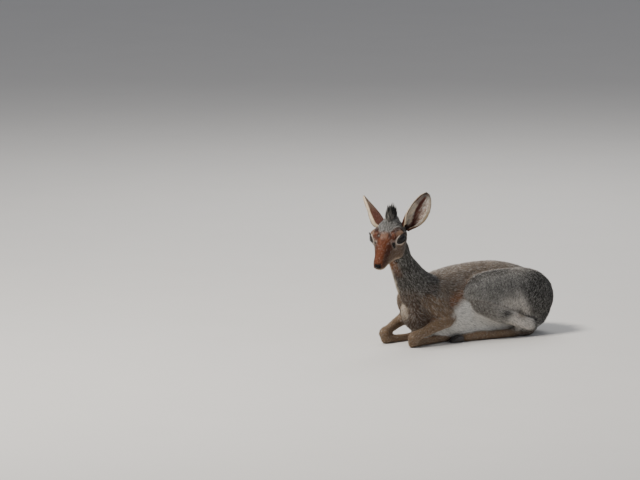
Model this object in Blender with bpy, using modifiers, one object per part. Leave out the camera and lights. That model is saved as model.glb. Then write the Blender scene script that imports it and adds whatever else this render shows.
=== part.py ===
"""A life-size dik-dik lying down with its legs folded and its head turned to its left.

The animal faces -X and its left side faces -Y. The floor is Z = 0 and the origin is on the
flat of the belly. Tables are in millimetres; MM turns them into the metres that Blender uses.
The solids reach to the tips of the coat.
"""

import math

import bmesh
import bpy
import numpy as np
from mathutils import Matrix, Vector

MM = 0.001
GAP = 0.3  # kept between one node and the next, in millimetres

# Trunk, from the rump to the breast.
# Columns: x, y, top z, bottom z, half width.
TRUNK = (
    (145, 0, 72, 48, 10),
    (140, 0, 83, 31, 27),
    (128, 0, 96, 14, 42),
    (108, 0, 109, 3, 52),
    (80, 0, 121, -2, 56),
    (45, 0, 129, -3, 54),
    (8, -1, 131, -4, 53),
    (-30, -3, 129, -4, 54),
    (-65, -8, 125, -1, 54),
    (-95, -15, 119, 5, 48),
    (-118, -22, 109, 11, 41),
    (-135, -28, 94, 20, 33),
    (-146, -33, 79, 32, 22),
    (-151, -35, 67, 44, 8),
)
TRUNK_WIDEST = 0.42  # share of the depth, from below, where the trunk is widest
TRUNK_ROUNDNESS = (2.25, 2.3)  # superellipse exponents above and below that

# Neck, from inside the breast up into the head.
# Columns: x, y, z, half width, half depth.
NECK = (
    (-116, -20, 82, 38, 40),
    (-140, -25, 104, 32, 33),
    (-156, -27, 127, 25.5, 26.5),
    (-169, -28, 149, 21, 22),
    (-177, -27, 172, 20.5, 22),
    (-184, -28, 192, 20, 21),
)

# Haunch, from the buttock to the knee, on the left side.
# Columns: x, y, z, half width, half height.
THIGH = (
    (137, -22, 60, 8, 13),
    (128, -27, 61, 18, 28),
    (108, -34, 65, 25, 41),
    (78, -39, 72, 29, 47),
    (42, -42, 78, 29, 44),
    (6, -44, 82, 27, 39),
    (-24, -47, 84, 23, 32),
    (-44, -50, 84, 17, 22),
    (-55, -52, 83, 7, 9),
)
SHANK = (
    (-44, -50, 78, 8, 12),
    (-34, -54, 68, 14, 21),
    (0, -58, 52, 15, 20),
    (40, -60, 36, 12.5, 15),
    (66, -59, 26, 10, 12),
    (82, -57, 21, 8.5, 11),
    (92, -56, 20, 4, 6),
)
HIND_CANNON = (
    (93, -53, 15, 3, 4),
    (84, -52.5, 12.5, 8, 9.4),
    (58, -52, 9, 7.5, 9),
    (0, -52.5, 7.8, 6.8, 8.2),
    (-26, -53.5, 8.2, 7.8, 8.9),
    (-44, -54, 7.5, 7.4, 8),
    (-56, -54, 6.8, 7.2, 7),
    (-61, -54, 6.6, 5, 5),
)
HIND_HOOF_START = (-59.5, -54, 6.2)
HIND_HOOF_RUN = (-1.0, 0.04, -0.05)

# The breast is turned towards the animal's left. Fore limb tables are in its own frame:
# columns: forward, outward, z, half width, half height.
BREAST_AT = (-95, -15)
BREAST_TURN = math.radians(15)
SHOULDER = (
    (50, 20, 84, 7, 10),
    (43, 28, 78, 13, 19),
    (30, 35, 68, 16, 23),
    (14, 40, 56, 14, 20),
    (4, 42, 47, 11, 15),
    (-3, 42, 43, 5, 6),
)
BLADE = (
    (-16, 12, 106, 10, 8),
    (0, 22, 99, 13, 13),
    (20, 30, 87, 15, 18),
    (38, 31, 78, 12, 15),
)
FOREARM = (
    (-6, 42, 44, 4, 5),
    (1, 43.5, 43, 10, 12),
    (23, 44.5, 38, 12, 14),
    (48, 42.5, 31, 10.5, 12),
    (71, 38.5, 24, 9.2, 10),
    (84, 36, 20, 10.3, 11),
    (91, 34.5, 17.5, 8, 9),
    (96, 34, 16.5, 3, 4),
)
FORE_CANNON = (
    (94, 33, 10, 3, 4),
    (88, 33, 9, 7.5, 8.8),
    (74, 32, 7.6, 7, 8),
    (40, 29.5, 6.8, 6.2, 7.2),
    (8, 26.5, 7.4, 7.2, 8),
    (-6, 25, 7.2, 7, 7.6),
    (-16, 24, 6.6, 6.8, 6.7),
    (-21, 23.6, 6.4, 4.5, 4.5),
)
FORE_HOOF_START = (-19.5, 23.7, 6.0)
FORE_HOOF_RUN = (-1.0, -0.08, -0.05)
HOOF_LENGTH = 25
HOOF_HALF_WIDTH = 4.1
HOOF_HALF_HEIGHT = 6.2
HOOF_SPREAD = 4.9

TAIL = (
    (128, 0, 88, 7, 7),
    (139, 0, 84, 8.5, 7.5),
    (146, 0, 74, 8, 7),
    (148.5, 0, 63, 6.5, 5.5),
    (149.5, 0, 54, 3, 3),
)

# Head frame: its origin is midway between the eyes. Head tables use forward, left and up.
EYES_AT = (-211, -55, 193)
HEAD_TURN = math.radians(42)
HEAD_PITCH = math.radians(16)

# Head, from the nape to the nose.
# Columns: forward, top, bottom, half width, height of the widest place, roundness above, below.
HEAD = (
    (-51, 2, -20, 9, -8, 2.0, 2.0),
    (-47, 12, -31, 18, -8, 2.0, 2.0),
    (-38, 20, -40, 24, -8, 2.1, 2.0),
    (-26, 24, -45, 26, -9, 2.4, 1.9),
    (-12, 23.5, -46.5, 26, -10, 2.6, 1.8),
    (2, 19.5, -45, 24, -12, 2.6, 1.75),
    (14, 12.5, -42.5, 20.5, -16, 2.2, 1.75),
    (26, 5.5, -40.5, 16.6, -20, 1.95, 1.8),
    (38, -1.5, -38.8, 13.4, -23, 2.0, 1.9),
    (48, -7.5, -37.6, 11.8, -25, 2.1, 2.0),
    (55, -12, -36, 10.8, -26.5, 2.2, 2.1),
    (60, -16, -33.5, 9.6, -27, 2.2, 2.1),
    (63.5, -19.5, -31.5, 7.6, -27, 2.1, 2.1),
    (65.5, -23, -29.5, 4, -26.5, 2.0, 2.0),
)
CHEEK_AT = (-12, 14.5, -23)
CHEEK_RADII = (24, 10, 19)
BROW_AT = (-4, 13, 3)
BROW_RADII = (23, 15, 16)

EYE_AT = (-0.5, 19.5, 0.8)
EYE_RADIUS = 12.0
LID_THICKNESS = 2.0
EYE_LOOK = (0.47, 0.88, 0.03)
EYE_SLANT = math.radians(14)  # the outer corner is the higher one
EYE_HALF_LENGTH = 11.2
EYE_HALF_HEIGHT = 7.6
GLAND_AT = (17.5, 19, -6)
GLAND_RADIUS = 2.4

EAR_LEFT_AT = (-31, 24.5, 8)
EAR_RIGHT_AT = (-34.5, -19.6, 6.3)
EAR_LENGTH = 75
EAR_HALF_WIDTH = 18.3
EAR_THICKNESS = 2.0
EAR_CANAL_RADII = (9, 6.6, 6.6)
EAR_CANAL_RISE = 4.5
EAR_SHAPE_T = (0, 0.06, 0.14, 0.25, 0.38, 0.5, 0.62, 0.74, 0.85, 0.94, 1.0)
EAR_SHAPE_WIDTH = (0.5, 0.58, 0.74, 0.91, 1.0, 1.0, 0.94, 0.81, 0.63, 0.41, 0.16)
# For each ear: where it points, and where its cup opens, in the head frame.
EAR_LEFT_RUN = (-0.598, 0.464, 0.654)
EAR_LEFT_OPENS = (0.948, 0.283, 0.148)
EAR_RIGHT_RUN = (-0.593, -0.686, 0.421)
EAR_RIGHT_OPENS = (-0.315, -0.939, 0.138)
# How far the middle of each ear bows back and across.
EAR_LEFT_BOW = (0.7, -2.6)
EAR_RIGHT_BOW = (-5.3, 4.5)

# The crest: a low mound on the crown, and erect locks that stand on it.
CREST_MOUND_AT = (-25, 2, 20)
CREST_MOUND_RADII = (16.5, 13.5, 14)
CREST_LOCKS = 24
CREST_HALF_LENGTH = 13
CREST_HALF_WIDTH = 8.3
CREST_LOCK_LENGTH = 19.5
CREST_LOCK_WIDTH = 3.7
CREST_LOCK_DEPTH = 2.3
CREST_LOCK_SUNK = 4
CREST_SEED = 4

MOUTH_LINE = ((70, -31.5), (58, -32.2), (48, -31.2), (40, -29.8), (35, -29.2))
MOUTH_OPENING = 0.7
LIP_RISE = 0.8
NOSE_CUT_AT = (62.4, -24)
NOSE_CUT_FACING = (0.98, 0.2)
NOSTRIL_AT = (64.5, 3.6, -25.8)
NOSTRIL_RADII = (3.4, 1.7, 1.5)

HEAD_CUT_AT = (-35, -18)
HEAD_CUT_FACING = (0.894, 0.447)
NECK_CUT_AT = (-128, -22, 102)
NECK_CUT_FACING = (-0.62, -0.12, 0.775)
THIGH_INNER_Y = 40
THIGH_OUTLINE = (
    (-58, 84), (-55, 99), (-40, 113), (-14, 126), (30, 140), (90, 140), (128, 118),
    (142, 84), (136, 40), (108, 18), (88, 34), (62, 44), (28, 58), (-8, 70), (-34, 78),
)
SHANK_INNER_Y = 40
SHANK_OUTLINE = (
    (-58, 84), (-34, 78), (-8, 70), (28, 58), (62, 44), (88, 34), (108, 18),
    (112, 4), (60, 3), (10, 16), (-28, 34), (-50, 58),
)

RINGS_PER_LOFT = 34
POINTS_PER_RING = 28
BODY_VOXEL = 2.4
HEAD_VOXEL = 1.15
LEG_RINGS = 13
LEG_POINTS = 12
BODY_TRIANGLES = 3800
HEAD_TRIANGLES = 2300

COLOURS = {
    "grey_coat": ((0.16, 0.15, 0.14), 0.85),
    "neck_coat": ((0.15, 0.13, 0.12), 0.85),
    "face_coat": ((0.33, 0.13, 0.05), 0.8),
    "leg_coat": ((0.42, 0.24, 0.13), 0.85),
    "ear_coat": ((0.30, 0.20, 0.14), 0.8),
    "eye": ((0.012, 0.008, 0.006), 0.05),
    "nose": ((0.015, 0.012, 0.012), 0.4),
    "hoof": ((0.025, 0.02, 0.018), 0.45),
}


def smooth_rows(rows, count):
    """The rows read at count even steps along a smooth curve through them."""
    keys = np.array(rows, float)
    spans = np.linalg.norm(np.diff(keys[:, :3], axis=0), axis=1)
    at = np.concatenate(([0.0], np.cumsum(spans)))
    slopes = np.gradient(keys, at, axis=0)
    wanted = np.linspace(0.0, at[-1], count)
    left = np.clip(np.searchsorted(at, wanted, side="right") - 1, 0, len(at) - 2)
    span = (at[left + 1] - at[left])[:, None]
    t = (wanted - at[left])[:, None] / span
    return (
        keys[left] * (2 * t**3 - 3 * t**2 + 1)
        + slopes[left] * span * (t**3 - 2 * t**2 + t)
        + keys[left + 1] * (3 * t**2 - 2 * t**3)
        + slopes[left + 1] * span * (t**3 - t**2)
    )


def power(values, exponent):
    """A sine or cosine bent into a superellipse, keeping its sign."""
    return np.sign(values) * np.abs(values) ** (2.0 / exponent)


def new_object(name, points, faces, material=None):
    mesh = bpy.data.meshes.new(name)
    mesh.from_pydata([tuple(p) for p in np.asarray(points) * MM], [], faces)
    mesh.validate()
    obj = bpy.data.objects.new(name, mesh)
    PARTS.objects.link(obj)
    if material:
        mesh.materials.append(material)
    return obj


def closed_loft(name, rings, crescent=False):
    """A closed mesh from rings of points. Its ends are fans, or strips across a crescent."""
    rings = np.asarray(rings)
    count, around = rings.shape[:2]
    points = rings.reshape(-1, 3)
    faces = []
    for i in range(count - 1):
        for j in range(around):
            k = (j + 1) % around
            faces.append(
                (i * around + j, i * around + k, (i + 1) * around + k, (i + 1) * around + j)
            )
    last_ring = (count - 1) * around
    if crescent:
        for j in range(around // 2 - 1):
            quad = (j, j + 1, around - 2 - j, around - 1 - j)
            faces.append(quad[::-1])
            faces.append(tuple(last_ring + k for k in quad))
    else:
        first, last = len(points), len(points) + 1
        points = np.concatenate((points, rings[:1].mean(axis=1), rings[-1:].mean(axis=1)))
        for j in range(around):
            k = (j + 1) % around
            faces.append((first, k, j))
            faces.append((last, last_ring + j, last_ring + k))
    obj = new_object(name, points, faces)
    face_outwards(obj)
    return obj


def face_outwards(obj):
    made = bmesh.new()
    made.from_mesh(obj.data)
    bmesh.ops.recalc_face_normals(made, faces=made.faces)
    made.to_mesh(obj.data)
    made.free()


def tube_rings(rows, grow=0.0, count=RINGS_PER_LOFT, around=POINTS_PER_RING):
    """Rings of a limb or neck: x, y, z, half width and half height, square to its path."""
    rows = smooth_rows(rows, count)
    centres = rows[:, :3]
    run = np.gradient(centres, axis=0)
    run /= np.linalg.norm(run, axis=1)[:, None]
    side = np.cross(run, (0.0, 0.0, 1.0))
    side /= np.linalg.norm(side, axis=1)[:, None]
    up = np.cross(side, run)
    angle = np.linspace(0, 2 * math.pi, around, endpoint=False)
    wide = np.maximum(rows[:, 3], 0.8)[:, None, None] + grow
    high = np.maximum(rows[:, 4], 0.8)[:, None, None] + grow
    ends = np.zeros((count, 1, 1))
    ends[0], ends[-1] = -grow, grow
    return (
        centres[:, None]
        + ends * run[:, None]
        + side[:, None] * wide * np.cos(angle)[None, :, None]
        + up[:, None] * high * np.sin(angle)[None, :, None]
    )


def trunk_rings():
    """Upright rings across the trunk's path, wider below than above."""
    rows = smooth_rows([(x, y, 0, top, bottom, wide) for x, y, top, bottom, wide in TRUNK], 44)
    run = np.gradient(rows[:, :2], axis=0)
    run /= np.linalg.norm(run, axis=1)[:, None]
    side = np.stack((-run[:, 1], run[:, 0], np.zeros(len(rows))), axis=1)
    top, bottom, wide = rows[:, 3], rows[:, 4], np.maximum(rows[:, 5], 1.0)
    middle = bottom + TRUNK_WIDEST * (top - bottom)
    angle = np.linspace(0, 2 * math.pi, 40, endpoint=False)
    above = np.sin(angle) > 0
    roundness = np.where(above, *TRUNK_ROUNDNESS)
    across = power(np.cos(angle), roundness)
    lift = power(np.sin(angle), roundness)
    reach = np.where(above[None, :], (top - middle)[:, None], (middle - bottom)[:, None])
    rings = np.zeros((len(rows), len(angle), 3))
    rings[:, :, :2] = rows[:, None, :2]
    rings[:, :, 2] = middle[:, None] + reach * lift[None, :]
    rings += side[:, None] * (wide[:, None] * across[None, :])[:, :, None]
    return rings


def head_axes():
    """The head's forward, left and up directions."""
    level = np.array((-math.cos(HEAD_TURN), -math.sin(HEAD_TURN), 0.0))
    left = np.array((-level[1], level[0], 0.0))
    forward = level * math.cos(HEAD_PITCH) - np.array((0, 0, math.sin(HEAD_PITCH)))
    up = level * math.sin(HEAD_PITCH) + np.array((0, 0, math.cos(HEAD_PITCH)))
    return np.array((forward, left, up))


def from_head(points):
    """Points given as forward, left and up of the eyes, in the part's frame."""
    return np.asarray(points, float) @ head_axes() + np.array(EYES_AT, float)


def from_breast(rows, side):
    """Fore limb rows in the part's frame, for the left side (1) or the right (-1)."""
    rows = np.array(rows, float)
    ahead = np.array((-math.cos(BREAST_TURN), -math.sin(BREAST_TURN)))
    left = np.array((-ahead[1], ahead[0]))
    made = rows.copy()
    made[:, :2] = (
        np.array(BREAST_AT) + rows[:, :1] * ahead + side * rows[:, 1:2] * left
    )
    return made


def on_side(rows, side):
    """Hind limb rows, mirrored for the right side."""
    rows = np.array(rows, float)
    rows[:, 1] *= side
    return rows


def head_rings():
    rows = smooth_rows(HEAD, 46)
    angle = np.linspace(0, 2 * math.pi, 36, endpoint=False)
    above = np.sin(angle) > 0
    rings = np.zeros((len(rows), len(angle), 3))
    for ring, (forward, top, bottom, wide, middle, round_above, round_below) in zip(rings, rows):
        roundness = np.where(above, round_above, round_below)
        ring[:, 0] = forward
        ring[:, 1] = max(wide, 0.8) * power(np.cos(angle), roundness)
        ring[:, 2] = middle + np.where(above, top - middle, middle - bottom) * power(
            np.sin(angle), roundness
        )
    return from_head(rings)


def ellipsoid(name, centre, radii, axes=None, segments=32, rings=20):
    """A ball stretched along three directions, in the part's frame."""
    made = bmesh.new()
    bmesh.ops.create_uvsphere(made, u_segments=segments, v_segments=rings, radius=1.0)
    mesh = bpy.data.meshes.new(name)
    made.to_mesh(mesh)
    made.free()
    axes = np.eye(3) if axes is None else np.asarray(axes, float)
    turn = Matrix((axes * np.array(radii, float)[:, None]).T.tolist()).to_4x4()
    turn.translation = Vector(centre)
    mesh.transform(Matrix.Scale(MM, 4) @ turn)
    obj = bpy.data.objects.new(name, mesh)
    PARTS.objects.link(obj)
    face_outwards(obj)
    return obj


def bake(obj):
    """Replaces the object's mesh by what its modifiers make of it."""
    graph = bpy.context.evaluated_depsgraph_get()
    made = bpy.data.meshes.new_from_object(obj.evaluated_get(graph))
    obj.modifiers.clear()
    obj.data = made
    return obj


def join(name, pieces):
    """One object that holds the pieces' meshes, still overlapping."""
    made = bmesh.new()
    for piece in pieces:
        made.from_mesh(piece.data)
        bpy.data.objects.remove(piece)
    mesh = bpy.data.meshes.new(name)
    made.to_mesh(mesh)
    made.free()
    obj = bpy.data.objects.new(name, mesh)
    PARTS.objects.link(obj)
    return obj


def fuse(name, pieces, voxel, smoothing, triangles):
    """Melts overlapping lofts into one skin and thins it to about that many triangles."""
    obj = join(name, pieces)
    remesh = obj.modifiers.new("melt", "REMESH")
    remesh.mode = "VOXEL"
    remesh.voxel_size = voxel * MM
    smooth = obj.modifiers.new("soften", "SMOOTH")
    smooth.factor = 0.5
    smooth.iterations = smoothing
    bake(obj)
    obj.data.calc_loop_triangles()
    thin = obj.modifiers.new("thin", "DECIMATE")
    thin.ratio = min(1.0, triangles / len(obj.data.loop_triangles))
    bake(obj)
    keep_largest(obj)
    return obj


def duplicate(obj, name):
    made = bpy.data.objects.new(name, obj.data.copy())
    PARTS.objects.link(made)
    return made


def combine(obj, other, operation, keep=False, solver="MANIFOLD"):
    """One Boolean between two closed meshes, applied. The other object is removed."""
    boolean = obj.modifiers.new("combine", "BOOLEAN")
    boolean.operation = operation
    boolean.solver = solver
    boolean.object = other
    bake(obj)
    if not keep:
        bpy.data.objects.remove(other)
    return obj


def combine_all(obj, pieces):
    """One Boolean union with a collection of closed pieces, which are then removed."""
    group = bpy.data.collections.new("pieces")
    for piece in pieces:
        PARTS.objects.unlink(piece)
        group.objects.link(piece)
    boolean = obj.modifiers.new("grow", "BOOLEAN")
    boolean.operation = "UNION"
    boolean.solver = "MANIFOLD"
    boolean.operand_type = "COLLECTION"
    boolean.collection = group
    bake(obj)
    for piece in pieces:
        bpy.data.objects.remove(piece)
    bpy.data.collections.remove(group)
    return obj


def keep_largest(obj):
    """Leaves only the largest closed surface of the mesh."""
    made = bmesh.new()
    made.from_mesh(obj.data)
    bmesh.ops.remove_doubles(made, verts=made.verts, dist=1e-6)
    unseen = set(made.verts)
    islands = []
    while unseen:
        start = unseen.pop()
        island, edge = {start}, [start]
        while edge:
            vertex = edge.pop()
            for link in vertex.link_edges:
                other = link.other_vert(vertex)
                if other in unseen:
                    unseen.discard(other)
                    island.add(other)
                    edge.append(other)
        islands.append(island)
    largest = max(islands, key=len)
    loose = [v for v in made.verts if v not in largest]
    bmesh.ops.delete(made, geom=loose, context="VERTS")
    made.to_mesh(obj.data)
    made.free()
    return obj


def slice_off(obj, at, facing):
    """Cuts the closed mesh at a plane and keeps what lies on the side that facing points to."""
    made = bmesh.new()
    made.from_mesh(obj.data)
    cut = bmesh.ops.bisect_plane(
        made,
        geom=made.verts[:] + made.edges[:] + made.faces[:],
        dist=1e-7,
        plane_co=Vector(at) * MM,
        plane_no=Vector(facing),
        clear_inner=True,
    )
    rim = [e for e in cut["geom_cut"] if isinstance(e, bmesh.types.BMEdge)]
    filled = bmesh.ops.holes_fill(made, edges=rim)
    bmesh.ops.triangulate(made, faces=filled["faces"])
    bmesh.ops.recalc_face_normals(made, faces=made.faces)
    made.to_mesh(obj.data)
    made.free()
    return obj


def grown(obj, name, distance):
    """A copy of the closed mesh, swollen by distance along its normals."""
    made = duplicate(obj, name)
    swell = made.modifiers.new("swell", "DISPLACE")
    swell.mid_level = 0.0
    swell.strength = distance * MM
    return bake(made)


def side_cutter(name, outline, inner_y, side, shrink=0.0):
    """A block cut to an outline in the side view, reaching outwards from inner_y."""
    outer_y = 130
    near = inner_y + shrink
    points = [(x, -side * near, z) for x, z in outline]
    points += [(x, -side * outer_y, z) for x, z in outline]
    count = len(outline)
    faces = [tuple(range(count)), tuple(range(2 * count - 1, count - 1, -1))]
    for i in range(count):
        j = (i + 1) % count
        faces.append((i, i + count, j + count, j))
    obj = new_object(name, points, faces)
    face_outwards(obj)
    return obj


def offset_outline(outline, distance):
    """The outline moved outwards by distance, or inwards where it is negative."""
    points = np.array(outline, float)
    along = np.roll(points, -1, axis=0) - points
    normal = np.stack((along[:, 1], -along[:, 0]), axis=1)
    normal /= np.linalg.norm(normal, axis=1)[:, None]
    corner = normal + np.roll(normal, 1, axis=0)
    corner /= (corner**2).sum(axis=1)[:, None] / 2.0
    area = (points[:, 0] * np.roll(points[:, 1], -1) - np.roll(points[:, 0], -1) * points[:, 1]).sum()
    return points + (distance if area > 0 else -distance) * corner


def material(name, look):
    colour, roughness = COLOURS[look]
    made = bpy.data.materials.new(name)
    made.use_nodes = True
    shader = made.node_tree.nodes["Principled BSDF"]
    shader.inputs["Base Color"].default_value = (*colour, 1.0)
    shader.inputs["Roughness"].default_value = roughness
    return made


def build_body(head_loft):
    """Trunk, neck, haunches and shoulders melted together, cut flat where they lie."""
    pieces = [
        closed_loft("trunk", trunk_rings()),
        closed_loft("neck_loft", tube_rings(NECK)),
        duplicate(head_loft, "skull"),
    ]
    for side in (1, -1):
        for rows in (THIGH, SHANK):
            pieces.append(closed_loft("limb", tube_rings(on_side(rows, side))))
        for rows in (SHOULDER, BLADE):
            pieces.append(closed_loft("limb", tube_rings(from_breast(rows, side))))
    body = fuse("body", pieces, BODY_VOXEL, 20, BODY_TRIANGLES)
    return slice_off(body, (0, 0, 0), (0, 0, 1))


def mouth_height(forward):
    """Height of the mouth's line at a distance forward in the head frame."""
    line = np.array(sorted(MOUTH_LINE))
    return np.interp(forward, line[:, 0], line[:, 1])


def shape_muzzle(obj):
    """Raises the lips along the mouth's line and sinks the groove under the nose."""
    mesh = obj.data
    count = len(mesh.vertices)
    points = np.empty(count * 3)
    normals = np.empty(count * 3)
    mesh.vertices.foreach_get("co", points)
    mesh.vertex_normals.foreach_get("vector", normals)
    points, normals = points.reshape(-1, 3), normals.reshape(-1, 3)
    local = (points / MM - np.array(EYES_AT)) @ head_axes().T
    forward, left, up = local.T
    from_line = up - mouth_height(forward)
    along = np.clip((forward - 33) / 8, 0, 1)
    lift = LIP_RISE * along * np.exp(-(((np.abs(from_line) - 1.9) / 1.5) ** 2))
    lift -= 0.9 * along * np.exp(-((left / 1.0) ** 2)) * (forward > 58) * (from_line > -0.5)
    points += normals * lift[:, None] * MM
    mesh.vertices.foreach_set("co", points.ravel())
    mesh.update()


def eye_axes(side):
    """For an eye: the direction it looks in, then the length and the height of its opening."""
    axes = head_axes()
    look = np.array(EYE_LOOK) * (1, side, 1)
    look = look / np.linalg.norm(look)
    back = np.cross((0.0, 0.0, 1.0), look)
    back /= np.linalg.norm(back)
    if back[0] > 0:
        back = -back
    rise = np.cross(look, back)
    if rise[2] < 0:
        rise = -rise
    outer = back * math.cos(EYE_SLANT) + rise * math.sin(EYE_SLANT)
    upper = rise * math.cos(EYE_SLANT) - back * math.sin(EYE_SLANT)
    return np.array((look, outer, upper)) @ axes


def eye_opening(side):
    """A prism in the shape of the opening between the lids."""
    look, outer, upper = eye_axes(side)
    centre = from_head(np.array(EYE_AT) * (1, side, 1))
    t = np.linspace(-1, 1, 13)
    top = EYE_HALF_HEIGHT * (1 - np.abs(t) ** 2.3) ** 0.8
    low = -EYE_HALF_HEIGHT * 0.86 * (1 - np.abs(t) ** 2.0) ** 0.9
    outline = list(zip(t * EYE_HALF_LENGTH, top)) + list(
        zip(t[-2:0:-1] * EYE_HALF_LENGTH, low[-2:0:-1])
    )
    outline = np.array(outline)
    flat = outline[:, :1] * outer + outline[:, 1:] * upper
    near, far = centre + look * 2.0 + flat * 0.9, centre + look * 24.0 + flat * 1.25
    count = len(outline)
    faces = [tuple(range(count)), tuple(range(2 * count - 1, count - 1, -1))]
    for i in range(count):
        j = (i + 1) % count
        faces.append((i, i + count, j + count, j))
    obj = new_object("opening", np.concatenate((near, far)), faces)
    face_outwards(obj)
    return obj


def mouth_slit():
    """A thin slab that follows the mouth's line and opens it on both sides."""
    line = sorted(MOUTH_LINE)
    points, faces = [], []
    for forward, up in line:
        for left, lift in ((-26, -1), (26, -1), (26, 1), (-26, 1)):
            points.append((forward, left, up + lift * MOUTH_OPENING / 2))
    for i in range(len(line) - 1):
        for j in range(4):
            k = (j + 1) % 4
            faces.append((4 * i + j, 4 * i + k, 4 * i + 4 + k, 4 * i + 4 + j))
    faces.append((0, 1, 2, 3))
    last = 4 * (len(line) - 1)
    faces.append((last + 3, last + 2, last + 1, last))
    obj = new_object("slit", from_head(points), faces)
    face_outwards(obj)
    return obj


def ear_axes(side):
    """For an ear: along it, across it and out of its cup."""
    run, opens = (EAR_LEFT_RUN, EAR_LEFT_OPENS) if side == 1 else (EAR_RIGHT_RUN, EAR_RIGHT_OPENS)
    run = np.array(run, float) / np.linalg.norm(run)
    opens = np.array(opens, float)
    opens -= run * (opens @ run)
    opens /= np.linalg.norm(opens)
    return np.array((run, np.cross(opens, run), opens)) @ head_axes()


def build_ear(name, side):
    """A leaf-shaped cup: nearly a tube at its root, flatter towards its tip."""
    run, across, opens = ear_axes(side)
    root = from_head(EAR_LEFT_AT if side == 1 else EAR_RIGHT_AT)
    count, wide = 15, 9
    t = np.linspace(0, 1, count)
    half = np.interp(t, EAR_SHAPE_T, EAR_SHAPE_WIDTH) * EAR_HALF_WIDTH
    cup = np.radians(np.interp(t, (0, 0.12, 0.26, 0.5, 1), (155, 132, 100, 72, 42)))
    radius = half / np.sin(np.minimum(cup, math.pi / 2))
    back = -half[0] + 5.0 * np.sin(t * math.pi * 0.5) - 6.0 * t**3
    bow = (EAR_LEFT_BOW if side == 1 else EAR_RIGHT_BOW) * np.sin(t * math.pi)[:, None]
    middle = (
        root + run * (t * EAR_LENGTH - 3)[:, None]
        + opens * (back + radius + bow[:, 0])[:, None] + across * bow[:, 1:]
    )
    turn = np.linspace(-1, 1, wide)
    thick = np.interp(t, (0, 0.6, 1), (EAR_THICKNESS * 1.3, EAR_THICKNESS, 1.3))
    rings = []
    for i in range(count):
        angle = turn * cup[i]
        skin = []
        for depth, order in ((0.0, 1), (1.0, -1)):
            rim = 1 - 0.45 * turn**6
            r = radius[i] - depth * thick[i] * rim
            r = np.maximum(r, 0.25)
            line = (
                middle[i]
                + across * (r * np.sin(angle))[:, None]
                - opens * (r * np.cos(angle))[:, None]
            )
            skin.append(line[::order])
        rings.append(np.concatenate(skin))
    return closed_loft(name, rings, crescent=True)


def build_crest():
    """Tapered locks set in a spiral on the crown, the longest at its middle."""
    draw = np.random.default_rng(CREST_SEED)
    centre, radii = np.array(CREST_MOUND_AT), np.array(CREST_MOUND_RADII)
    t = np.array((0.0, 0.4, 0.72, 1.0))
    taper = np.array((1.0, 0.9, 0.6, 0.15))
    angle = np.linspace(0, 2 * math.pi, 5, endpoint=False)
    locks = []
    for k in range(CREST_LOCKS):
        out = math.sqrt((k + 0.5) / CREST_LOCKS)
        turn = k * math.pi * (3 - math.sqrt(5))
        ahead, left = out * math.cos(turn), out * math.sin(turn)
        at = np.array((ahead * CREST_HALF_LENGTH, left * CREST_HALF_WIDTH, 0.0))
        at[2] = radii[2] * math.sqrt(1 - (at[0] / radii[0]) ** 2 - (at[1] / radii[1]) ** 2)
        run = np.array((0.22 * ahead - 0.12, 0.12 * left + 0.1, 1.0)) + draw.normal(0, 0.05, 3)
        run /= np.linalg.norm(run)
        length = CREST_LOCK_LENGTH * (1 - 0.72 * out**2) * draw.uniform(0.85, 1.1)
        bend = np.array((-2.6, 0.8 * left, 0.0)) * (length / CREST_LOCK_LENGTH)
        spine = (
            centre + at - run * CREST_LOCK_SUNK
            + run * (t * (length + CREST_LOCK_SUNK))[:, None] + bend * (t**2)[:, None]
        )
        side = np.cross(run, (math.sin(turn), -math.cos(turn), 0.3))
        side /= np.linalg.norm(side)
        over = np.cross(run, side)
        rings = (
            spine[:, None]
            + side * (CREST_LOCK_WIDTH * taper[:, None] * np.cos(angle))[:, :, None]
            + over * (CREST_LOCK_DEPTH * taper[:, None] * np.sin(angle))[:, :, None]
        )
        locks.append(closed_loft("lock", from_head(rings)))
    return locks


def build_head(head_loft):
    """Skull, cheeks, brows and lids melted together with the top of the neck."""
    axes = head_axes()
    pieces = [duplicate(head_loft, "skull"), closed_loft("nape", tube_rings(NECK))]
    pieces.append(
        ellipsoid("mound", from_head(CREST_MOUND_AT), CREST_MOUND_RADII, axes)
    )
    for side in (1, -1):
        sided = np.array((1, side, 1))
        pieces.append(ellipsoid("cheek", from_head(sided * CHEEK_AT), CHEEK_RADII, axes))
        pieces.append(ellipsoid("brow", from_head(sided * BROW_AT), BROW_RADII, axes))
        lid = EYE_RADIUS + LID_THICKNESS
        pieces.append(ellipsoid("lids", from_head(sided * EYE_AT), (lid, lid, lid)))
    head = fuse("head", pieces, HEAD_VOXEL, 16, HEAD_TRIANGLES * 3)
    shape_muzzle(head)
    thin = head.modifiers.new("thin", "DECIMATE")
    thin.ratio = 1 / 3
    bake(head)
    return combine_all(head, build_crest())


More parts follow.
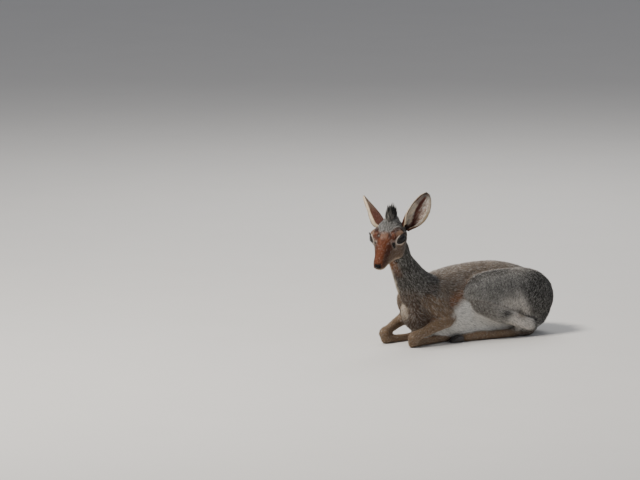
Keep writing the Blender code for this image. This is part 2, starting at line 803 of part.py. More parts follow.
def hoof_rings(start, run, offset, grow):
    """A pointed toe, flat towards its twin, with a deeper heel."""
    run = np.array(run, float) / np.linalg.norm(run)
    side = np.array((-run[1], run[0], 0.0))
    side /= np.linalg.norm(side)
    up = np.cross(run, side)
    up *= np.sign(up[2])
    t = np.linspace(0, 1, 7)
    wide = HOOF_HALF_WIDTH * np.interp(t, (0, 0.15, 0.45, 0.8, 1), (0.7, 0.95, 1, 0.6, 0.14))
    high = HOOF_HALF_HEIGHT * np.interp(t, (0, 0.15, 0.45, 0.8, 1), (0.7, 1, 0.92, 0.52, 0.16))
    drop = -HOOF_HALF_HEIGHT * np.interp(t, (0, 0.45, 1), (0, 0.06, 0.72))
    lean = -np.sign(offset) * 1.4 * t**2
    angle = np.linspace(0, 2 * math.pi, 10, endpoint=False)
    centre = (
        np.array(start, float)
        + run * (t * HOOF_LENGTH)[:, None]
        + side * (offset + lean)[:, None]
        + up * drop[:, None]
    )
    ends = np.zeros((7, 1, 1))
    ends[0], ends[-1] = -grow, grow
    return (
        centre[:, None]
        + ends * run
        + side * ((wide[:, None] + grow) * power(np.cos(angle), 2.6))[:, :, None]
        + up * ((high[:, None] + grow) * power(np.sin(angle), 2.6))[:, :, None]
    )


def build_feet(body_nodes):
    """Lower limbs and hooves. Each is also taken, swollen by the gap, from what it meets."""
    nodes = {}
    for side, word in ((1, "left"), (-1, "right")):
        fore = from_breast([FORE_HOOF_START], side)[0]
        ahead = from_breast([(0, 0, 0), FORE_HOOF_RUN], side)
        fore_run = ahead[1] - ahead[0]
        hind = on_side([HIND_HOOF_START], side)[0]
        hind_run = on_side([HIND_HOOF_RUN], side)[0]
        limbs = (
            ("forearm_" + word, from_breast(FOREARM, side)),
            ("fore_cannon_" + word, from_breast(FORE_CANNON, side)),
            ("hind_cannon_" + word, on_side(HIND_CANNON, side)),
        )
        made, cutters = {}, {}
        for name, rows in limbs:
            for grow, store in ((0.0, made), (GAP, cutters)):
                rings = tube_rings(rows, grow, LEG_RINGS, LEG_POINTS)
                store[name] = closed_loft(name if not grow else name + "_room", rings)
        for name, start, run in (("fore_hoof_", fore, fore_run), ("hind_hoof_", hind, hind_run)):
            for place, offset in (("outer", HOOF_SPREAD), ("inner", -HOOF_SPREAD)):
                key = name + place + "_" + word
                for grow, store in ((0.0, made), (GAP, cutters)):
                    rings = hoof_rings(start, run, offset, grow)
                    store[key] = closed_loft(key if not grow else key + "_room", rings)
        order = list(made)
        for i, name in enumerate(order):
            for other in order[i + 1:]:
                if near_each_other(made[name], cutters[other]):
                    combine(made[name], cutters[other], "DIFFERENCE", keep=True)
            for target in body_nodes:
                if near_each_other(body_nodes[target], cutters[name]):
                    combine(body_nodes[target], cutters[name], "DIFFERENCE", keep=True)
        for cutter in cutters.values():
            bpy.data.objects.remove(cutter)
        for name in order:
            keep_largest(slice_off(made[name], (0, 0, 0), (0, 0, 1)))
        nodes.update(made)
    return nodes


def near_each_other(one, other):
    """Whether the boxes of two objects meet."""
    boxes = []
    for obj in (one, other):
        points = np.array([tuple(v.co) for v in obj.data.vertices])
        boxes.append((points.min(axis=0), points.max(axis=0)))
    (low, high), (other_low, other_high) = boxes
    return bool(np.all(low <= other_high) and np.all(other_low <= high))


def build():
    head_loft = closed_loft("head_loft", head_rings())
    body = build_body(head_loft)
    head = build_head(head_loft)
    bpy.data.objects.remove(head_loft)

    neck_at, neck_facing = np.array(NECK_CUT_AT), np.array(NECK_CUT_FACING)
    head_at = from_head((HEAD_CUT_AT[0], 0, HEAD_CUT_AT[1]))
    head_facing = np.array((HEAD_CUT_FACING[0], 0, HEAD_CUT_FACING[1])) @ head_axes()

    body_swollen = grown(body, "body_room", GAP)
    neck = slice_off(duplicate(body, "neck"), neck_at, neck_facing)
    neck = keep_largest(slice_off(neck, head_at, -head_facing))
    torso = slice_off(duplicate(body, "torso"), neck_at - neck_facing * GAP, -neck_facing)
    nodes = {"torso": torso, "neck": neck}

    for side, word in ((1, "left"), (-1, "right")):
        for name, outline, inner in (
            ("thigh_" + word, THIGH_OUTLINE, THIGH_INNER_Y),
            ("shank_" + word, SHANK_OUTLINE, SHANK_INNER_Y),
        ):
            kept = side_cutter("kept", offset_outline(outline, -GAP / 2), inner, side, GAP / 2)
            room = side_cutter("room", offset_outline(outline, GAP / 2), inner, side, -GAP / 2)
            nodes[name] = combine(duplicate(body, name), kept, "INTERSECT")
            combine(torso, room, "DIFFERENCE")

    nodes.update(build_feet(nodes))

    tail = closed_loft("tail", tube_rings(TAIL, 0.0, 12, 14))
    nodes["tail"] = combine(tail, body_swollen, "DIFFERENCE")
    bpy.data.objects.remove(body)

    head_swollen = grown(head, "head_room", GAP)
    slice_off(head, head_at + head_facing * GAP, head_facing)
    for side, word in ((1, "left"), (-1, "right")):
        sided = np.array((1, side, 1))
        centre = from_head(sided * EYE_AT)
        radius = EYE_RADIUS
        nodes["eye_" + word] = ellipsoid("eye_" + word, centre, (radius,) * 3, None, 20, 12)
        room = radius + GAP
        combine(head, ellipsoid("socket", centre, (room,) * 3, None, 20, 12), "DIFFERENCE")
        combine(head, eye_opening(side), "DIFFERENCE")
        combine(
            head,
            ellipsoid("nostril", from_head(sided * NOSTRIL_AT), NOSTRIL_RADII, head_axes(), 12, 8),
            "DIFFERENCE",
        )
        combine(
            head,
            ellipsoid("gland", from_head(sided * GLAND_AT), (GLAND_RADIUS,) * 3, None, 10, 7),
            "DIFFERENCE",
        )
        root = from_head(EAR_LEFT_AT if side == 1 else EAR_RIGHT_AT)
        canal_at = root + ear_axes(side)[0] * EAR_CANAL_RISE
        canal = ellipsoid("canal", canal_at, EAR_CANAL_RADII, ear_axes(side), 16, 10)
        combine(head, canal, "DIFFERENCE")
        ear = build_ear("ear_" + word, side)
        nodes["ear_" + word] = combine(ear, head_swollen, "DIFFERENCE", keep=True)
    bpy.data.objects.remove(head_swollen)
    combine(head, mouth_slit(), "DIFFERENCE")

    nose_at = from_head((NOSE_CUT_AT[0], 0, NOSE_CUT_AT[1]))
    nose_facing = np.array((NOSE_CUT_FACING[0], 0, NOSE_CUT_FACING[1])) @ head_axes()
    nodes["nose"] = slice_off(duplicate(head, "nose"), nose_at, nose_facing)
    nodes["head"] = slice_off(head, nose_at - nose_facing * GAP, -nose_facing)

    looks = {
        "torso": "grey_coat", "neck": "neck_coat", "head": "face_coat", "nose": "nose",
        "tail": "grey_coat", "ear": "ear_coat", "eye": "eye", "thigh": "grey_coat",
        "shank": "leg_coat", "forearm": "leg_coat", "fore_cannon": "leg_coat",
        "hind_cannon": "leg_coat", "fore_hoof": "hoof", "hind_hoof": "hoof",
    }
    for name, obj in nodes.items():
        keep_largest(obj)
        obj.name = name
        obj.data.name = name
        kind = max((key for key in looks if name.startswith(key)), key=len)
        obj.data.materials.clear()
        made = material(name, looks[kind])
        obj.data.materials.append(made)


for old in list(bpy.data.objects):
    bpy.data.objects.remove(old)
PARTS = bpy.data.collections.new("dik_dik")
bpy.context.scene.collection.children.link(PARTS)
build()
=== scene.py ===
import math

import bmesh
import bpy
import numpy as np
from mathutils import Matrix


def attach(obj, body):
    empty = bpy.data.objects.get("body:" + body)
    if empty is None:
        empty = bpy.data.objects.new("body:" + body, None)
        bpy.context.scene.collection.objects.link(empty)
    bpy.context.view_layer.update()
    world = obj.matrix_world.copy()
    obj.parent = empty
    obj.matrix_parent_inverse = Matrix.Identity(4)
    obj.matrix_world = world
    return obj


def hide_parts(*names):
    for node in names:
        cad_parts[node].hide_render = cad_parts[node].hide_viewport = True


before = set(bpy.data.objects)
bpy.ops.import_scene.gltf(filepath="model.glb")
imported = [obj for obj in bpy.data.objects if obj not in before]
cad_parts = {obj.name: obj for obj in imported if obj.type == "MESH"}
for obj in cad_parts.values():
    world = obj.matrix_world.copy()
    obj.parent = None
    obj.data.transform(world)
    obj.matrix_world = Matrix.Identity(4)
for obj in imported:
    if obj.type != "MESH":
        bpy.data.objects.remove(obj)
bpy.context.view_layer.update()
mm = 0.001

# Shape tables in millimetres, in the CAD's frame. Columns of the trunk: x, y, top, bottom,
# half width. Columns of a limb: x, y, z, half width, half height.
trunk = (
    (145, 0, 72, 48, 10), (140, 0, 83, 31, 27), (128, 0, 96, 14, 42), (108, 0, 109, 3, 52),
    (80, 0, 121, -2, 56), (45, 0, 129, -3, 54), (8, -1, 131, -4, 53), (-30, -3, 129, -4, 54),
    (-65, -8, 125, -1, 54), (-95, -15, 119, 5, 48), (-118, -22, 109, 11, 41),
    (-135, -28, 94, 20, 33), (-146, -33, 79, 32, 22), (-151, -35, 67, 44, 8),
)
neck = (
    (-116, -20, 82, 38, 40), (-140, -25, 104, 32, 33), (-156, -27, 127, 25.5, 26.5),
    (-169, -28, 149, 21, 22), (-177, -27, 172, 20.5, 22), (-184, -28, 192, 20, 21),
)
hindLimb = {
    "thigh": (
        (137, -22, 60, 8, 13), (128, -27, 61, 18, 28), (108, -34, 65, 25, 41),
        (78, -39, 72, 29, 47), (42, -42, 78, 29, 44), (6, -44, 82, 27, 39),
        (-24, -47, 84, 23, 32), (-44, -50, 84, 17, 22), (-55, -52, 83, 7, 9),
    ),
    "shank": (
        (-44, -50, 78, 8, 12), (-34, -54, 68, 14, 21), (0, -58, 52, 15, 20),
        (40, -60, 36, 12.5, 15), (66, -59, 26, 10, 12), (82, -57, 21, 8.5, 11),
        (92, -56, 20, 4, 6),
    ),
    "hindCannon": (
        (93, -53, 15, 3, 4), (84, -52.5, 12.5, 8, 9.4), (58, -52, 9, 7.5, 9),
        (0, -52.5, 7.8, 6.8, 8.2), (-26, -53.5, 8.2, 7.8, 8.9), (-44, -54, 7.5, 7.4, 8),
        (-56, -54, 6.8, 7.2, 7), (-61, -54, 6.6, 5, 5),
    ),
}
# Fore limbs stand in the breast's frame: ahead, outwards, z.
foreLimb = {
    "shoulder": (
        (50, 20, 84, 7, 10), (43, 28, 78, 13, 19), (30, 35, 68, 16, 23), (14, 40, 56, 14, 20),
        (4, 42, 47, 11, 15), (-3, 42, 43, 5, 6),
    ),
    "blade": ((-16, 12, 106, 10, 8), (0, 22, 99, 13, 13), (20, 30, 87, 15, 18),
              (38, 31, 78, 12, 15)),
    "forearm": (
        (-6, 42, 44, 4, 5), (1, 43.5, 43, 10, 12), (23, 44.5, 38, 12, 14),
        (48, 42.5, 31, 10.5, 12), (71, 38.5, 24, 9.2, 10), (84, 36, 20, 10.3, 11),
        (91, 34.5, 17.5, 8, 9), (96, 34, 16.5, 3, 4),
    ),
    "foreCannon": (
        (94, 33, 10, 3, 4), (88, 33, 9, 7.5, 8.8), (74, 32, 7.6, 7, 8), (40, 29.5, 6.8, 6.2, 7.2),
        (8, 26.5, 7.4, 7.2, 8), (-6, 25, 7.2, 7, 7.6), (-16, 24, 6.6, 6.8, 6.7),
        (-21, 23.6, 6.4, 4.5, 4.5),
    ),
}
breast = {"at": (-95, -15), "turn": math.radians(15)}
tail = ((128, 0, 88, 7, 7), (139, 0, 84, 8.5, 7.5), (146, 0, 74, 8, 7), (148.5, 0, 63, 6.5, 5.5),
        (149.5, 0, 54, 3, 3))
# Columns of the head: forward, top, bottom, half width, widest height, roundness above, below.
head = (
    (-51, 2, -20, 9, -8, 2.0, 2.0), (-47, 12, -31, 18, -8, 2.0, 2.0),
    (-38, 20, -40, 24, -8, 2.1, 2.0), (-26, 24, -45, 26, -9, 2.4, 1.9),
    (-12, 23.5, -46.5, 26, -10, 2.6, 1.8), (2, 19.5, -45, 24, -12, 2.6, 1.75),
    (14, 12.5, -42.5, 20.5, -16, 2.2, 1.75), (26, 5.5, -40.5, 16.6, -20, 1.95, 1.8),
    (38, -1.5, -38.8, 13.4, -23, 2.0, 1.9), (48, -7.5, -37.6, 11.8, -25, 2.1, 2.0),
    (55, -12, -36, 10.8, -26.5, 2.2, 2.1), (60, -16, -33.5, 9.6, -27, 2.2, 2.1),
    (63.5, -19.5, -31.5, 7.6, -27, 2.1, 2.1), (65.5, -23, -29.5, 4, -26.5, 2.0, 2.0),
)
headPose = {"at": (-211, -55, 193), "turn": math.radians(42), "pitch": math.radians(16)}
headSwells = {
    "cheek": ((-12, 14.5, -23), (24, 10, 19)),
    "brow": ((-4, 13, 3), (23, 15, 16)),
    "lids": ((-0.5, 19.5, 0.8), (14, 14, 14)),
}
crest = {"at": (-25, 2, 20), "radii": (16.5, 13.5, 14), "halfLength": 13, "halfWidth": 8.3,
         "rise": 19, "clumps": 56, "hairs": 42, "seed": 4}
eye = {"at": (-0.5, 19.5, 0.8), "radius": 12.0, "look": (0.47, 0.88, 0.03), "halfLength": 10.9,
       "halfHeight": 6.5, "lowerHeight": 0.86, "slant": math.radians(14), "margin": 1.0,
       "room": 0.15, "openFrom": 2, "openTo": 24, "innerFlare": 0.9, "outerFlare": 1.25,
       "hairFrom": 12.3}
mouthLine = ((35, -29.2), (40, -29.8), (48, -31.2), (58, -32.2), (70, -31.5))
gland = (17.5, 19, -6)
nostril = (64.5, 3.6, -25.8)


# Vectors scaled to length 1.
def unit(v):
    return v / np.maximum(np.linalg.norm(v, axis=-1, keepdims=True), 1e-9)


# Smooth step from 0 at low to 1 at high: 3 t squared - 2 t cubed.
def ramp(value, low, high):
    t = np.clip((value - low) / (high - low), 0, 1)
    return t * t * (3 - 2 * t)


# A bump of height 1 at one value: exp of -((value - at) / spread) squared.
def hill(value, at, spread):
    return np.exp(-(((value - at) / spread) ** 2))


# Even steps along a cubic that passes through the rows.
def smoothRows(rows, count):
    keys = np.array(rows, float)
    spans = np.linalg.norm(np.diff(keys[:, :3], axis=0), axis=1)
    at = np.concatenate(([0.0], np.cumsum(spans)))
    slopes = np.gradient(keys, at, axis=0)
    wanted = np.linspace(0.0, at[-1], count)
    left = np.clip(np.searchsorted(at, wanted, side="right") - 1, 0, len(at) - 2)
    span = (at[left + 1] - at[left])[:, None]
    t = (wanted - at[left])[:, None] / span
    return (keys[left] * (2 * t**3 - 3 * t**2 + 1) + slopes[left] * span * (t**3 - 2 * t**2 + t)
            + keys[left + 1] * (3 * t**2 - 2 * t**3)
            + slopes[left + 1] * span * (t**3 - t**2))


# Sign times size to the power 2 / exponent, the side of a superellipse.
def power(values, exponent):
    return np.sign(values) * np.abs(values) ** (2.0 / exponent)


# Ellipses square to the path: centre + side * cos + up * sin.
def tubeRings(rows, count=60, around=40):
    rows = smoothRows(rows, count)
    centres = rows[:, :3]
    run = unit(np.gradient(centres, axis=0))
    side = unit(np.cross(run, (0.0, 0.0, 1.0)))
    up = np.cross(side, run)
    angle = np.linspace(0, 2 * math.pi, around, endpoint=False)
    wide = np.maximum(rows[:, 3], 0.8)[:, None, None]
    high = np.maximum(rows[:, 4], 0.8)[:, None, None]
    return (centres[:, None] + side[:, None] * wide * np.cos(angle)[None, :, None]
            + up[:, None] * high * np.sin(angle)[None, :, None])


trunkForm = {"widestAt": 0.42, "roundAbove": 2.25, "roundBelow": 2.3}


# Upright superellipses across the path: centre + side * wide * cos + up * reach * sin.
def trunkRings():
    rows = smoothRows([(x, y, 0, top, low, wide) for x, y, top, low, wide in trunk], 90)
    run = unit(np.gradient(rows[:, :2], axis=0))
    side = np.stack((-run[:, 1], run[:, 0], np.zeros(len(rows))), axis=1)
    top, low, wide = rows[:, 3], rows[:, 4], np.maximum(rows[:, 5], 1.0)
    middle = low + trunkForm["widestAt"] * (top - low)
    angle = np.linspace(0, 2 * math.pi, 90, endpoint=False)
    above = np.sin(angle) > 0
    roundness = np.where(above, trunkForm["roundAbove"], trunkForm["roundBelow"])
    reach = np.where(above[None, :], (top - middle)[:, None], (middle - low)[:, None])
    rings = np.zeros((len(rows), len(angle), 3))
    rings[:, :, :2] = rows[:, None, :2]
    rings[:, :, 2] = middle[:, None] + reach * power(np.sin(angle), roundness)[None, :]
    across = power(np.cos(angle), roundness)
    return rings + side[:, None] * (wide[:, None] * across[None, :])[:, :, None]


# Forward, left and up of the head, and where its middle stands.
level = np.array((-math.cos(headPose["turn"]), -math.sin(headPose["turn"]), 0.0))
upright = np.array((0.0, 0.0, 1.0))
headAxes = np.array((
    level * math.cos(headPose["pitch"]) - upright * math.sin(headPose["pitch"]),
    (-level[1], level[0], 0.0),
    level * math.sin(headPose["pitch"]) + upright * math.cos(headPose["pitch"]),
))
headAt = np.array(headPose["at"], float)


# Head frame to shared frame: points @ axes + place.
def fromHead(points):
    return np.asarray(points, float) @ headAxes + headAt


# Shared frame to head frame: (points - place) @ turned axes.
def toHead(points):
    return (points - headAt) @ headAxes.T


# Rows ahead of and outwards from the breast, turned into the shared frame.
def fromBreast(rows, side):
    made = np.array(rows, float)
    ahead = np.array((-math.cos(breast["turn"]), -math.sin(breast["turn"])))
    left = np.array((-ahead[1], ahead[0]))
    made[:, :2] = np.array(breast["at"]) + made[:, :1] * ahead + side * made[:, 1:2] * left
    return made


# Rows of the left side, mirrored in y for the right.
def onSide(rows, side):
    made = np.array(rows, float)
    made[:, 1] *= side
    return made


# Superellipses across the muzzle and skull, with their own widest height.
def headRings():
    rows = smoothRows(head, 110)
    angle = np.linspace(0, 2 * math.pi, 80, endpoint=False)
    above = np.sin(angle) > 0
    forward, top, low, wide, middle, roundAbove, roundBelow = rows.T[:, :, None]
    roundness = np.where(above, roundAbove, roundBelow)
    rings = np.zeros((len(rows), len(angle), 3))
    rings[:, :, 0] = forward
    rings[:, :, 1] = np.maximum(wide, 0.8) * power(np.cos(angle), roundness)
    rings[:, :, 2] = middle + np.where(above, top - middle, middle - low) * power(
        np.sin(angle), roundness)
    return fromHead(rings)


# A ball of radius 1 stretched along the axes: cos tilt, sin tilt cos angle, sin tilt sin angle.
def ballRings(centre, radii, axes, count=40, around=48):
    tilt = np.linspace(0.03, math.pi - 0.03, count)[:, None]
    angle = np.linspace(0, 2 * math.pi, around, endpoint=False)[None, :]
    ball = np.stack((np.cos(tilt) + 0 * angle, np.sin(tilt) * np.cos(angle),
                     np.sin(tilt) * np.sin(angle)), axis=-1)
    return np.asarray(centre) + (ball * np.array(radii)) @ np.asarray(axes)


# Points and faces of a grid of rings, closed round. Both ends are fans of triangles, or a
# strip across where each ring is a crescent.
def closedGrid(rings, crescent=False):
    count, around = rings.shape[:2]
    i = np.arange(count - 1)[:, None] * around
    j = np.arange(around)[None, :]
    k = (j + 1) % around
    quads = np.stack((i + j, i + k, i + around + k, i + around + j), axis=-1).reshape(-1, 4)
    points = rings.reshape(-1, 3)
    last = (count - 1) * around
    if crescent:
        j = np.arange(around // 2 - 1)
        strip = np.stack((j, j + 1, around - 2 - j, around - 1 - j), axis=-1)
        return points, quads.tolist() + strip[:, ::-1].tolist() + (strip + last).tolist()
    points = np.concatenate((points, rings[:1].mean(axis=1), rings[-1:].mean(axis=1)))
    j = np.arange(around)
    k = (j + 1) % around
    first = np.stack((np.full(around, len(points) - 2), k, j), axis=-1)
    final = np.stack((np.full(around, len(points) - 1), last + j, last + k), axis=-1)
    return points, quads.tolist() + first.tolist() + final.tolist()


# An object from points in millimetres, with its faces turned outwards.
def newPiece(name, points, faces, smooth=True):
    mesh = bpy.data.meshes.new(name)
    mesh.from_pydata((np.asarray(points) * mm).tolist(), [], faces)
    made = bmesh.new()
    made.from_mesh(mesh)
    bmesh.ops.recalc_face_normals(made, faces=made.faces)
    made.to_mesh(mesh)
    made.free()
    obj = bpy.data.objects.new(name, mesh)
    bpy.context.scene.collection.objects.link(obj)
    if smooth:
        mesh.shade_smooth()
    return obj


# Puts what the modifiers make in place of the mesh.
def applied(obj):
    graph = bpy.context.evaluated_depsgraph_get()
    made = bpy.data.meshes.new_from_object(obj.evaluated_get(graph))
    old = obj.data
    obj.modifiers.clear()
    obj.data = made
    bpy.data.meshes.remove(old)
    return obj


# Points of a mesh in millimetres.
def meshPoints(mesh):
    points = np.empty(len(mesh.vertices) * 3)
    mesh.vertices.foreach_get("co", points)
    return points.reshape(-1, 3) / mm


# Normals at the points of a mesh.
def meshNormals(mesh):
    normals = np.empty(len(mesh.vertices) * 3)
    mesh.vertex_normals.foreach_get("vector", normals)
    return normals.reshape(-1, 3)


# Puts points in millimetres back into their mesh.
def setPoints(mesh, points):
    mesh.vertices.foreach_set("co", (points * mm).ravel())
    mesh.update()


# Each point moves half way to the mean of its neighbours, weighted by where.
def relax(mesh, points, where, rounds):
    edges = np.empty(len(mesh.edges) * 2, int)
    mesh.edges.foreach_get("vertices", edges)
    a, b = edges.reshape(-1, 2).T
    degree = np.bincount(a, minlength=len(points)) + np.bincount(b, minlength=len(points))
    for _ in range(rounds):
        total = np.zeros_like(points)
        for axis in range(3):
            total[:, axis] = (np.bincount(a, points[b, axis], len(points))
                              + np.bincount(b, points[a, axis], len(points)))
        points = points + 0.5 * where[:, None] * (total / degree[:, None] - points)
    return points


# Look, outer and upper directions of an eye.
def eyeAxes(side):
    look = unit(np.array(eye["look"]) * (1, side, 1))
    back = unit(np.cross((0.0, 0.0, 1.0), look))
    back = -back if back[0] > 0 else back
    rise = np.cross(look, back)
    rise = -rise if rise[2] < 0 else rise
    c, s = math.cos(eye["slant"]), math.sin(eye["slant"])
    return np.array((look, back * c + rise * s, rise * c - back * s)) @ headAxes


# Upper edge of the opening: half height * (1 - |t| ** 2.3) ** 0.8, t from -1 to 1 along it.
def upperLid(t):
    return eye["halfHeight"] * (1 - np.abs(t) ** 2.3) ** 0.8


# Almond outline: the upper edge, and back along a flatter lower one.
def almond(steps):
    t = np.linspace(-1, 1, steps)
    top = upperLid(t)
    low = -(eye["halfHeight"] * eye["lowerHeight"]) * (1 - np.abs(t) ** 2.0) ** 0.9
    x = t * eye["halfLength"]
    return np.concatenate((np.stack((x, top), 1), np.stack((x, low), 1)[-2:0:-1]))


# The skin: every loft of flesh melted into one surface.
skinForm = {"voxel": 2.35, "soften": 0.5, "rounds": 10, "floorGap": 0.15, "undercoatAndShadow": 0.62}
rings = [trunkRings(), tubeRings(neck, 60, 60), headRings(), tubeRings(tail, 30, 24)]
for side in (1, -1):
    rings += [tubeRings(onSide(rows, side)) for rows in hindLimb.values()]
    rings += [tubeRings(fromBreast(rows, side)) for rows in foreLimb.values()]
    for key, (at, radii) in headSwells.items():
        rings.append(ballRings(fromHead(np.array(at) * (1, side, 1)), radii, headAxes))
rings.append(ballRings(fromHead(crest["at"]), crest["radii"], headAxes))
points, faces = [], []
for ring in rings:
    p, f = closedGrid(ring)
    start = sum(len(q) for q in points)
    points.append(p)
    faces += [[start + k for k in face] for face in f]
skin = newPiece("skin", np.concatenate(points), faces)
melt = skin.modifiers.new("melt", "REMESH")
melt.mode = "VOXEL"
melt.voxel_size = skinForm["voxel"] * mm
soften = skin.modifiers.new("soften", "SMOOTH")
soften.factor = skinForm["soften"]
soften.iterations = skinForm["rounds"]
applied(skin)
print("skin melted", len(skin.data.polygons))


# Splits in four the faces of the skin whose centres, in the head's frame, are in the zone.
def refine(zone):
    centres = np.empty(len(skin.data.polygons) * 3)
    skin.data.polygons.foreach_get("center", centres)
    chosen = np.nonzero(zone(*toHead(centres.reshape(-1, 3) / mm).T))[0]
    made = bmesh.new()
    made.from_mesh(skin.data)
    made.faces.ensure_lookup_table()
    edges = {edge for index in chosen for edge in made.faces[index].edges}
    bmesh.ops.subdivide_edges(made, edges=list(edges), cuts=1, use_grid_fill=True)
    made.to_mesh(skin.data)
    made.free()


# Distance in the head's frame to a point of its left side, or to that point's mirror image.
def distanceTo(f, l, u, at):
    return np.sqrt((f - at[0]) ** 2 + (np.abs(l) - at[1]) ** 2 + (u - at[2]) ** 2)


refine(lambda f, l, u: (f > -34) & (u > -52) & (np.abs(l) < 45) & (f * 0.894 + u * 0.447 > -38))
refine(lambda f, l, u: (f > 52) | (distanceTo(f, l, u, eye["at"]) < 19) & (np.abs(l) > 12)
       | (distanceTo(f, l, u, gland) < 8) | (f > 30) & (np.abs(u + 30) < 4))
points = meshPoints(skin.data)
f, l, u = toHead(points).T
onHead = ramp(f * 0.894 + u * 0.447, -44, -36) * (np.abs(l) < 46) * (f > -60)
points = relax(skin.data, points, onHead, 5)
setPoints(skin.data, points)
print("skin refined", len(skin.data.polygons))

# The skin lies inside the solids by the coat's depth.
coatDepth = {"body": 2.6, "head": 1.3, "muzzleThinner": 0.7, "nearEye": 0.7, "lowLeg": 0.8}
depth = coatDepth["body"] * (1 - onHead) + onHead * (
    coatDepth["head"] - coatDepth["muzzleThinner"] * ramp(f, 0, 40))
depth = np.where(distanceTo(f, l, u, eye["at"]) < 19, coatDepth["nearEye"], depth)
lowLegs = (points[:, 2] < 20) & ((np.abs(points[:, 1]) > 34) | (points[:, 0] < -100))
depth = np.where(lowLegs, coatDepth["lowLeg"], depth)
depth = relax(skin.data, np.repeat(depth[:, None], 3, axis=1), np.ones(len(points)), 12)[:, 0]
normals = meshNormals(skin.data)
points = points - normals * depth[:, None]
points[:, 2] = np.maximum(points[:, 2], skinForm["floorGap"])

# Face: raised lips, mouth groove, philtrum, nostrils, tear gland, and folds round the lids.
relief = {"lips": 0.9, "mouth": 1.7, "philtrum": 0.9, "nostril": 3.2, "nostrilRim": 0.5,
          "gland": 2.4, "lidFold": 0.5}
f, l, u = toHead(points).T
offLine = u - np.interp(f, *np.array(mouthLine).T)
along = ramp(f, 33, 40)
lift = relief["lips"] * along * hill(np.abs(offLine), 1.8, 1.4)
lift -= relief["mouth"] * along * hill(offLine, 0, 0.65)
lift -= relief["philtrum"] * hill(l, 0, 0.7) * (f > 60) * (offLine > 0) * (u < -25)
for side in (1, -1):
    acrossSlit, upSlit = l - nostril[1] * side, u - nostril[2]
    slit = (acrossSlit / 1.5) ** 2 + ((upSlit - 0.5 * side * acrossSlit) / 1.0) ** 2
    lift -= relief["nostril"] * np.exp(-slit) * (f > 57)
    lift += relief["nostrilRim"] * hill(np.sqrt(slit), 2.0, 0.7) * (f > 58)
ahead, above = f - gland[0], u - gland[2]
lift -= relief["gland"] * (np.abs(l) > 8) * np.exp(
    -(((ahead * 0.8 + above * 0.6) / 2.6) ** 2 + ((above * 0.8 - ahead * 0.6) / 1.3) ** 2))
fromEye = distanceTo(f, l, u, eye["at"])
lift -= relief["lidFold"] * hill(fromEye, 15.6, 1.0) * (u > 2) * (np.abs(l) > 12)
points = points + normals * lift[:, None]
setPoints(skin.data, points)


# Takes a closed shape out of the skin.
def carve(name, points, faces):
    cutter = newPiece(name, points, faces)
    boolean = skin.modifiers.new("carve", "BOOLEAN")
    boolean.operation = "DIFFERENCE"
    boolean.solver = "MANIFOLD"
    boolean.object = cutter
    applied(skin)
    bpy.data.objects.remove(cutter)


for side in (1, -1):
    centre = fromHead(np.array(eye["at"]) * (1, side, 1))
    look, outer, upper = eyeAxes(side)
    room = eye["radius"] + eye["room"]
    carve("socket", *closedGrid(ballRings(centre, (room,) * 3, np.eye(3), 40, 56)))
    outline = almond(40)
    flat = outline[:, :1] * outer + outline[:, 1:] * upper
    prism = np.stack((centre + look * eye["openFrom"] + flat * eye["innerFlare"],
                      centre + look * eye["openTo"] + flat * eye["outerFlare"]))
    carve("opening", *closedGrid(prism))
skin.data.shade_smooth()
skin.data.calc_loop_triangles()
print("skin carved", len(skin.data.loop_triangles))


# Corners of the skin's triangles.
def skinTriangles():
    mesh = skin.data
    mesh.calc_loop_triangles()
    tris = np.empty(len(mesh.loop_triangles) * 3, int)
    mesh.loop_triangles.foreach_get("vertices", tris)
    return tris.reshape(-1, 3)


# Guides: the middle line of each loft with its radius, the way its hair runs along it
# (1 follows the rows, -1 goes against them), and how far the hair droops.
def guideOf(rows, way, droop, count):
    rows = smoothRows(rows, count)
    run = unit(np.gradient(rows[:, :3], axis=0)) * way
    flow = unit(run * (1 - droop) + np.array((0, 0, -1.0)) * droop)
    return rows[:, :3], np.sqrt(np.maximum(rows[:, 3], 3) * np.maximum(rows[:, 4], 3)), flow


guides = {
    "trunk": guideOf([(x, y, (top + low) / 2, wide, (top - low) / 2)
                      for x, y, top, low, wide in trunk[1:-1]], -1, 0.22, 48),
    "neck": guideOf(neck, -1, 0.0, 24),
    "head": guideOf([(*fromHead((r[0], 0, (r[1] + r[2]) / 2)), r[3], (r[1] - r[2]) / 2)
                     for r in head[1:-2]], -1, 0.08, 28),
    "tail": guideOf(tail, 1, 0.3, 5),
}
guideSpan = {"thigh": (1, 0.62, 32), "shank": (1, 0.2, 28), "hindCannon": (1, 0.0, 36),
             "shoulder": (1, 0.45, 14), "blade": (1, 0.5, 10), "forearm": (1, 0.12, 22),
             "foreCannon": (1, 0.0, 28)}
for side, word in ((1, "Left"), (-1, "Right")):
    for key, rows in hindLimb.items():
        guides[key + word] = guideOf(onSide(rows, side), *guideSpan[key])
    for key, rows in foreLimb.items():
        guides[key + word] = guideOf(fromBreast(rows, side), *guideSpan[key])
guideNames = list(guides)
guideAt = np.concatenate([g[0] for g in guides.values()])
guideRadius = np.concatenate([g[1] for g in guides.values()])
guideFlow = np.concatenate([g[2] for g in guides.values()])
guideIs = np.concatenate([np.full(len(g[1]), i) for i, g in enumerate(guides.values())])
guideT = np.concatenate([np.linspace(0, 1, len(g[1])) for g in guides.values()])


